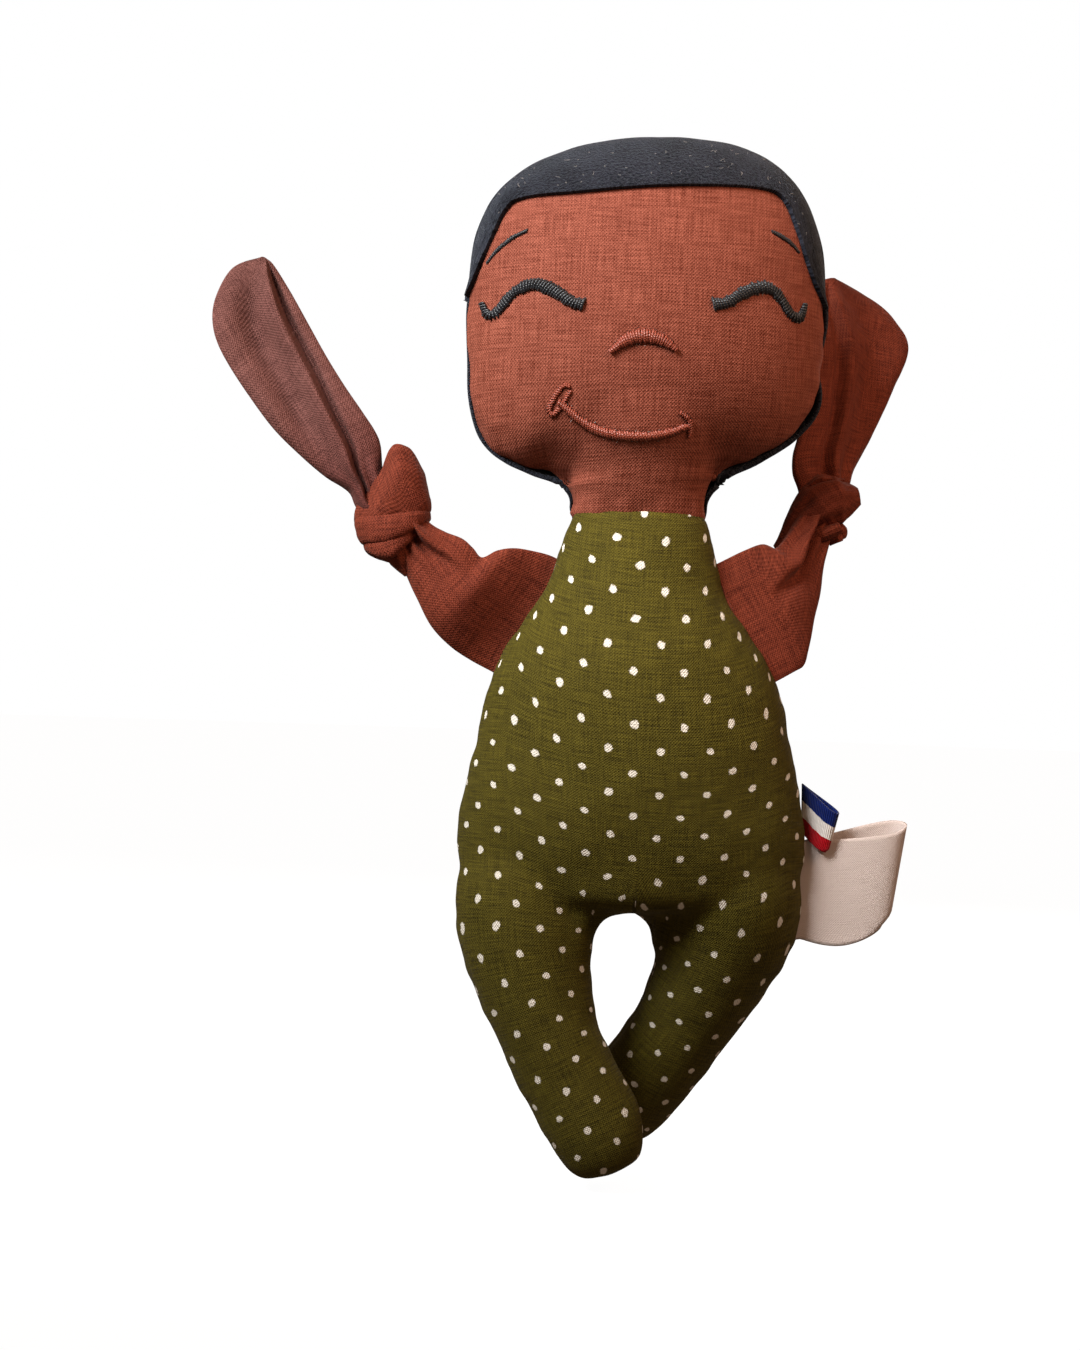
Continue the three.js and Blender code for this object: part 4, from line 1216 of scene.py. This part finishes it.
def roll(skin, plane, path, half, deep, forward):
    """A roll of cloth that lies in the picture plane, with round ends and creases along it."""
    curve = spline(path, 60)
    along = unit(np.gradient(curve, axis=0))
    share = np.linspace(0, 1, 60)[:, None]
    reach = np.interp(share, np.linspace(0, 1, len(half)), half)
    angles = around(64)[None]
    crease = 1 + 0.05 * np.sin(4 * angles + 3 * share) + 0.03 * np.sin(9 * angles + 2)
    aside = reach * np.cos(angles) * crease
    place = curve[:, None] + joined(-along[:, 1], along[:, 0])[:, None] * aside[..., None]
    lift = forward + deep * reach / max(half) * np.sin(angles) * crease
    centre = plane.knot_centre
    points = centre + place[..., :1] * plane.level + place[..., 1:] * plane.up + FORWARD * lift[..., None]
    points += unit(points - centre) * crumpled(points, ROLL_CRUMPLE)[..., None]
    skin.grid(points, wrap=True, ends=True)


KNOT_AT = {"right": (33.0, 8.5), "left": (29.0, 13.5)}
# The share by which a turn is lower behind the knot, and the height of its lips
KNOT_BACK_DROP = 0.4
KNOT_LIP = 7.0
# The right knot seen from the front: turns of cloth round an axis, as (across, low, high) edges
RIGHT_KNOT_HEADING = 52.0
RIGHT_TURNS = [
    {"edges": [(-7.5, -3.3, 7.0), (-6.9, -3.3, 9.6), (-5.4, -3.3, 11.5), (-2.4, -3.3, 12.2),
               (1.4, -3.3, 7.4), (4.8, -3.3, 4.4), (8.2, -3.4, 1.5), (9.2, -3.5, -0.6)],
     "deep": 6.4, "thick": 1.0, "shut": 3.0},
    {"edges": [(-7.0, -5.1, -2.2), (1.4, -7.7, -2.2), (9.4, -6.9, -1.0)], "deep": 7.0, "thick": 1.5},
    {"edges": [(-4.8, -7.4, -4.8), (3.2, -11.3, -6.6), (8.4, -9.2, -6.0)], "deep": 6.4, "thick": 1.6},
]
RIGHT_TAIL = {"path": [(-2.5, -5), (-4.7, -8), (-7, -10.2), (-9.2, -12.1)], "half": [2.5, 3.0, 2.4, 0.8],
              "deep": 3.2, "forward": 1.6}
# The left knot: rolls along (outward, upward) paths from its middle, with their half widths
LEFT_ROLLS = [
    {"path": [(-11.6, -0.8), (-7.2, 0.7), (-2.2, 2.9), (2.8, 4.0), (7.0, 3.2), (9.6, 2.6)],
     "half": [0.7, 2.4, 4.1, 5.3, 5.1, 1.8], "deep": 5.6, "forward": 1.8},
    {"path": [(-10.7, -1.7), (-6.6, -1.6), (-2.2, -1.9), (2.8, -2.1)], "half": [0.5, 1.3, 1.6, 1.2],
     "deep": 2.2, "forward": 4.6},
    {"path": [(0, -1), (1.2, -3.6), (1.2, -5)], "half": [2.2, 2.4, 1.5], "deep": 3.0, "forward": 1.6},
    {"path": [(2.4, -1.5), (2.7, -3.2), (2.4, -4.4)], "half": [1.7, 1.9, 1.2], "deep": 2.6, "forward": 0.6},
    {"path": [(-1.5, 8.2), (3.0, 9.2), (8.0, 7.0)], "half": [0.9, 1.4, 0.8], "deep": 4.6, "forward": -0.4},
]


def knot(plane):
    plane.knot_centre = plane.at(KNOT_AT[plane.name])
    skin = Skin()
    if plane.name == "right":
        turn = math.radians(RIGHT_KNOT_HEADING)
        axis = plane.level * math.cos(turn) + plane.up * math.sin(turn)
        aside = plane.level * math.sin(turn) - plane.up * math.cos(turn)
        for each in RIGHT_TURNS:
            knot_turn(skin, (plane.knot_centre, axis, aside), **each)
        roll(skin, plane, **RIGHT_TAIL)
    else:
        for each in LEFT_ROLLS:
            roll(skin, plane, **each)
    piece = tidy(skin.object(f"{plane.name}_knot"))
    dress(piece, RUST_COTTON, "rust_cotton", f"{plane.name}_arm_knot")
    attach(piece, f"{plane.name}_arm")


def hand(plane, arm):
    ridge_at = table(arm["ridge"])

    def thickness(share):
        return 0.8 + 1.2 * smooth(0.9, 0.3, share)

    def fold(share, across):
        beyond = across - ridge_at(share)
        crest = HAND_CREST * np.where(beyond > 0, bell(beyond, 0, 0.34), bell(beyond, 0, 0.075))
        groove = -HAND_GROOVE * bell(beyond, -0.15, 0.09)
        hollow = smooth(0.15, 0.5, share) * smooth(0.95, 0.65, share)
        trough = -HAND_TROUGH * bell(beyond, 0.6, 0.32) * hollow
        rim = HAND_RIM * smooth(0.15, 0.85, across) * hollow
        gather = HAND_GATHER * np.cos(9 * across) * smooth(0.3, 0.1, share)
        relief = crest + groove + trough + rim
        return arm["depth"] * smooth(1.0, 0.84, share) * relief + gather + HAND_FULLNESS * (1 - across**2)

    place, forward, _, _ = flat_tube(arm["hand_outer"], arm["hand_inner"], 96, 224, thickness, fold)
    points = plane.at(place, forward)
    points += plane.front * crumpled(points, *HAND_CRUMPLES)[..., None]
    piece = tidy(Skin().grid(points, wrap=True, ends=True).object(f"{plane.name}_flap"))
    dress(piece, FLAP_CLOTH[arm["cloth"]], "rust_cotton", f"{plane.name}_hand")
    wrist = HINGE[f"{plane.name}_hand_bend"]
    reach = unit(plane.at(arm["hand_outer"][-1]) - wrist)
    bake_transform(piece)


def arms():
    for name, arm in ARMS.items():
        plane = ArmPlane(name, arm["lean"])
        sleeve(plane, arm)
        knot(plane)
        hand(plane, arm)


# Tabs: strips folded in half with both ends in the left side seam

TAB_CLOTH = 0.4
TAB_SEWN_IN = 0.8
# Half of the loop seen from above, in shares of its length and of half its opening
TAB_LOOP = [(-0.1, 0.1), (0, 0.15), (0.3, 0.5), (0.6, 0.88), (0.82, 1.0), (0.95, 0.66)]
# The shares by which the loop's lower corner is rounded off and its lower edge closes
TAB_CORNER = 0.09
TAB_CLOSES = 0.35
TABS = {
    "label": {"top": -7.4, "height": 20.5, "length": 21.5, "taper": 3.0, "open": 5.6,
              "rise": 0.2, "sag": 2.2, "shear": 0.45, "forward": 0.0},
    "ribbon": {"top": 4.2, "height": 10.1, "length": 7.6, "taper": 2.2, "open": 2.4,
               "rise": -0.7, "sag": 0.3, "shear": 0.1, "forward": 30.0},
}


def tab(name, material, slot):
    spec = TABS[name]
    half, length = spec["open"] / 2, spec["length"]
    loop = spline([*TAB_LOOP, (1, 0), *((run, -side) for run, side in TAB_LOOP[::-1])], 90)
    down = np.linspace(1, 0, 30)[:, None]
    corner = 1 - TAB_CORNER * smooth(0.82, 1.0, down) ** 2
    run = loop[:, 0] * (length - spec["taper"] * down) * corner
    open_by = loop[:, 1] * half * (1 - TAB_CLOSES * down)
    drop = spec["sag"] * down * np.sin(math.pi * np.clip(loop[:, 0], 0, 1))
    z = spec["rise"] * run - spec["height"] * down - drop - spec["shear"] * open_by
    points = joined(run, -open_by, z)
    flat_run = lengths(loop * (length, half), 0)
    flat = joined(spec["height"] * (0.5 - down), flat_run[None])
    turn = Matrix.Rotation(-math.radians(spec["forward"]), 3, "Z")
    points = points @ np.array(turn).T + (HINGE[f"{name}_flap"][0] - TAB_SEWN_IN, 0, spec["top"])
    obj = thicken(Skin().grid(points, flat).object(f"{name}_strip"), TAB_CLOTH, offset=0)
    dress(obj, material, slot, f"{name}_loop")
    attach(obj, name)


# Stage, light and camera

CAMERA_AT = (-20.3, -500.0, 25.7)
FRAME_HALF_HEIGHT = 142.4
CAMERA_ROLL = 2.0
SENSOR = 36
FLOOR_Z = -81.3


def plain(name, grey, glow):
    material = bpy.data.materials.new(name)
    material.use_nodes = True
    set_inputs(material.node_tree.nodes["Principled BSDF"], {
        "Base Color": (grey, grey, grey, 1), "Roughness": 1.0, "Specular IOR Level": 0.0,
        "Emission Color": (1, 1, 1, 1), "Emission Strength": glow,
    })
    return material


def scenery(name, work, material):
    """A piece of the stage, which the camera sees but which throws no light on the doll."""
    mesh = bpy.data.meshes.new(name)
    work.to_mesh(mesh)
    work.free()
    mesh.materials.append(material)
    obj = placed(name, mesh)
    obj.visible_diffuse = obj.visible_glossy = obj.visible_transmission = obj.visible_shadow = False
    return obj


def stage():
    disc = bmesh.new()
    bmesh.ops.create_circle(disc, cap_ends=True, segments=96, radius=4.0)
    floor = scenery("floor", disc, plain("pale_floor", grey=0.12, glow=0.975))
    floor.location.z = FLOOR_Z * MM
    shell = bmesh.new()
    bmesh.ops.create_icosphere(shell, subdivisions=4, radius=5.0)
    scenery("backdrop", shell, plain("white_backdrop", grey=0.0, glow=1.0))
    world = bpy.data.worlds.new("studio")
    world.use_nodes = True
    set_inputs(world.node_tree.nodes["Background"], {"Color": (1.0, 0.70, 0.50, 1), "Strength": 0.17})
    bpy.context.scene.world = world


def panel_light(name, target, towards, distance, size, spread, power, colour):
    """A soft square light at a distance from a target, facing it. spread is its beam's angle."""
    data = bpy.data.lights.new(name, "AREA")
    configured(data, size=size, energy=power, color=colour, spread=math.radians(spread))
    way = Vector(towards).normalized()
    configured(placed(name, data), location=Vector(target) * MM + way * distance,
               rotation_mode="QUATERNION", rotation_quaternion=way.to_track_quat("Z", "Y"))


def camera():
    lens = SENSOR / 2 * -CAMERA_AT[1] / FRAME_HALF_HEIGHT
    data = bpy.data.cameras.new("camera")
    configured(data, sensor_width=SENSOR, lens=lens, clip_start=0.01, clip_end=20)
    obj = placed("camera", data)
    look = Matrix.Rotation(math.radians(90), 4, "X") @ Matrix.Rotation(math.radians(CAMERA_ROLL), 4, "Z")
    obj.matrix_world = Matrix.Translation(Vector(CAMERA_AT) * MM) @ look
    bpy.context.scene.camera = obj


camera()
stage()
panel_light("key", target=(-19, -10, 77), towards=(-0.57, -0.55, 0.61), distance=0.34, size=0.2,
            spread=42, power=0.335, colour=(1.0, 1.0, 0.98))
panel_light("back", target=(0, 0, 30), towards=(0.25, 0.85, 0.45), distance=0.6, size=0.4,
            spread=180, power=1.6, colour=(1.0, 0.9, 0.82))
panel_light("fill", target=(62, 0, 115), towards=(0.62, -0.62, 0.48), distance=0.28, size=0.16,
            spread=70, power=0.13, colour=(1.0, 0.66, 0.45))
bpy.context.scene.view_settings.view_transform = "Standard"

head()
body()
arms()
tab("label", WHITE_SATIN, "white_satin")
tab("ribbon", ribbon_weave(TABS["ribbon"]["height"]), "tricolour_ribbon")
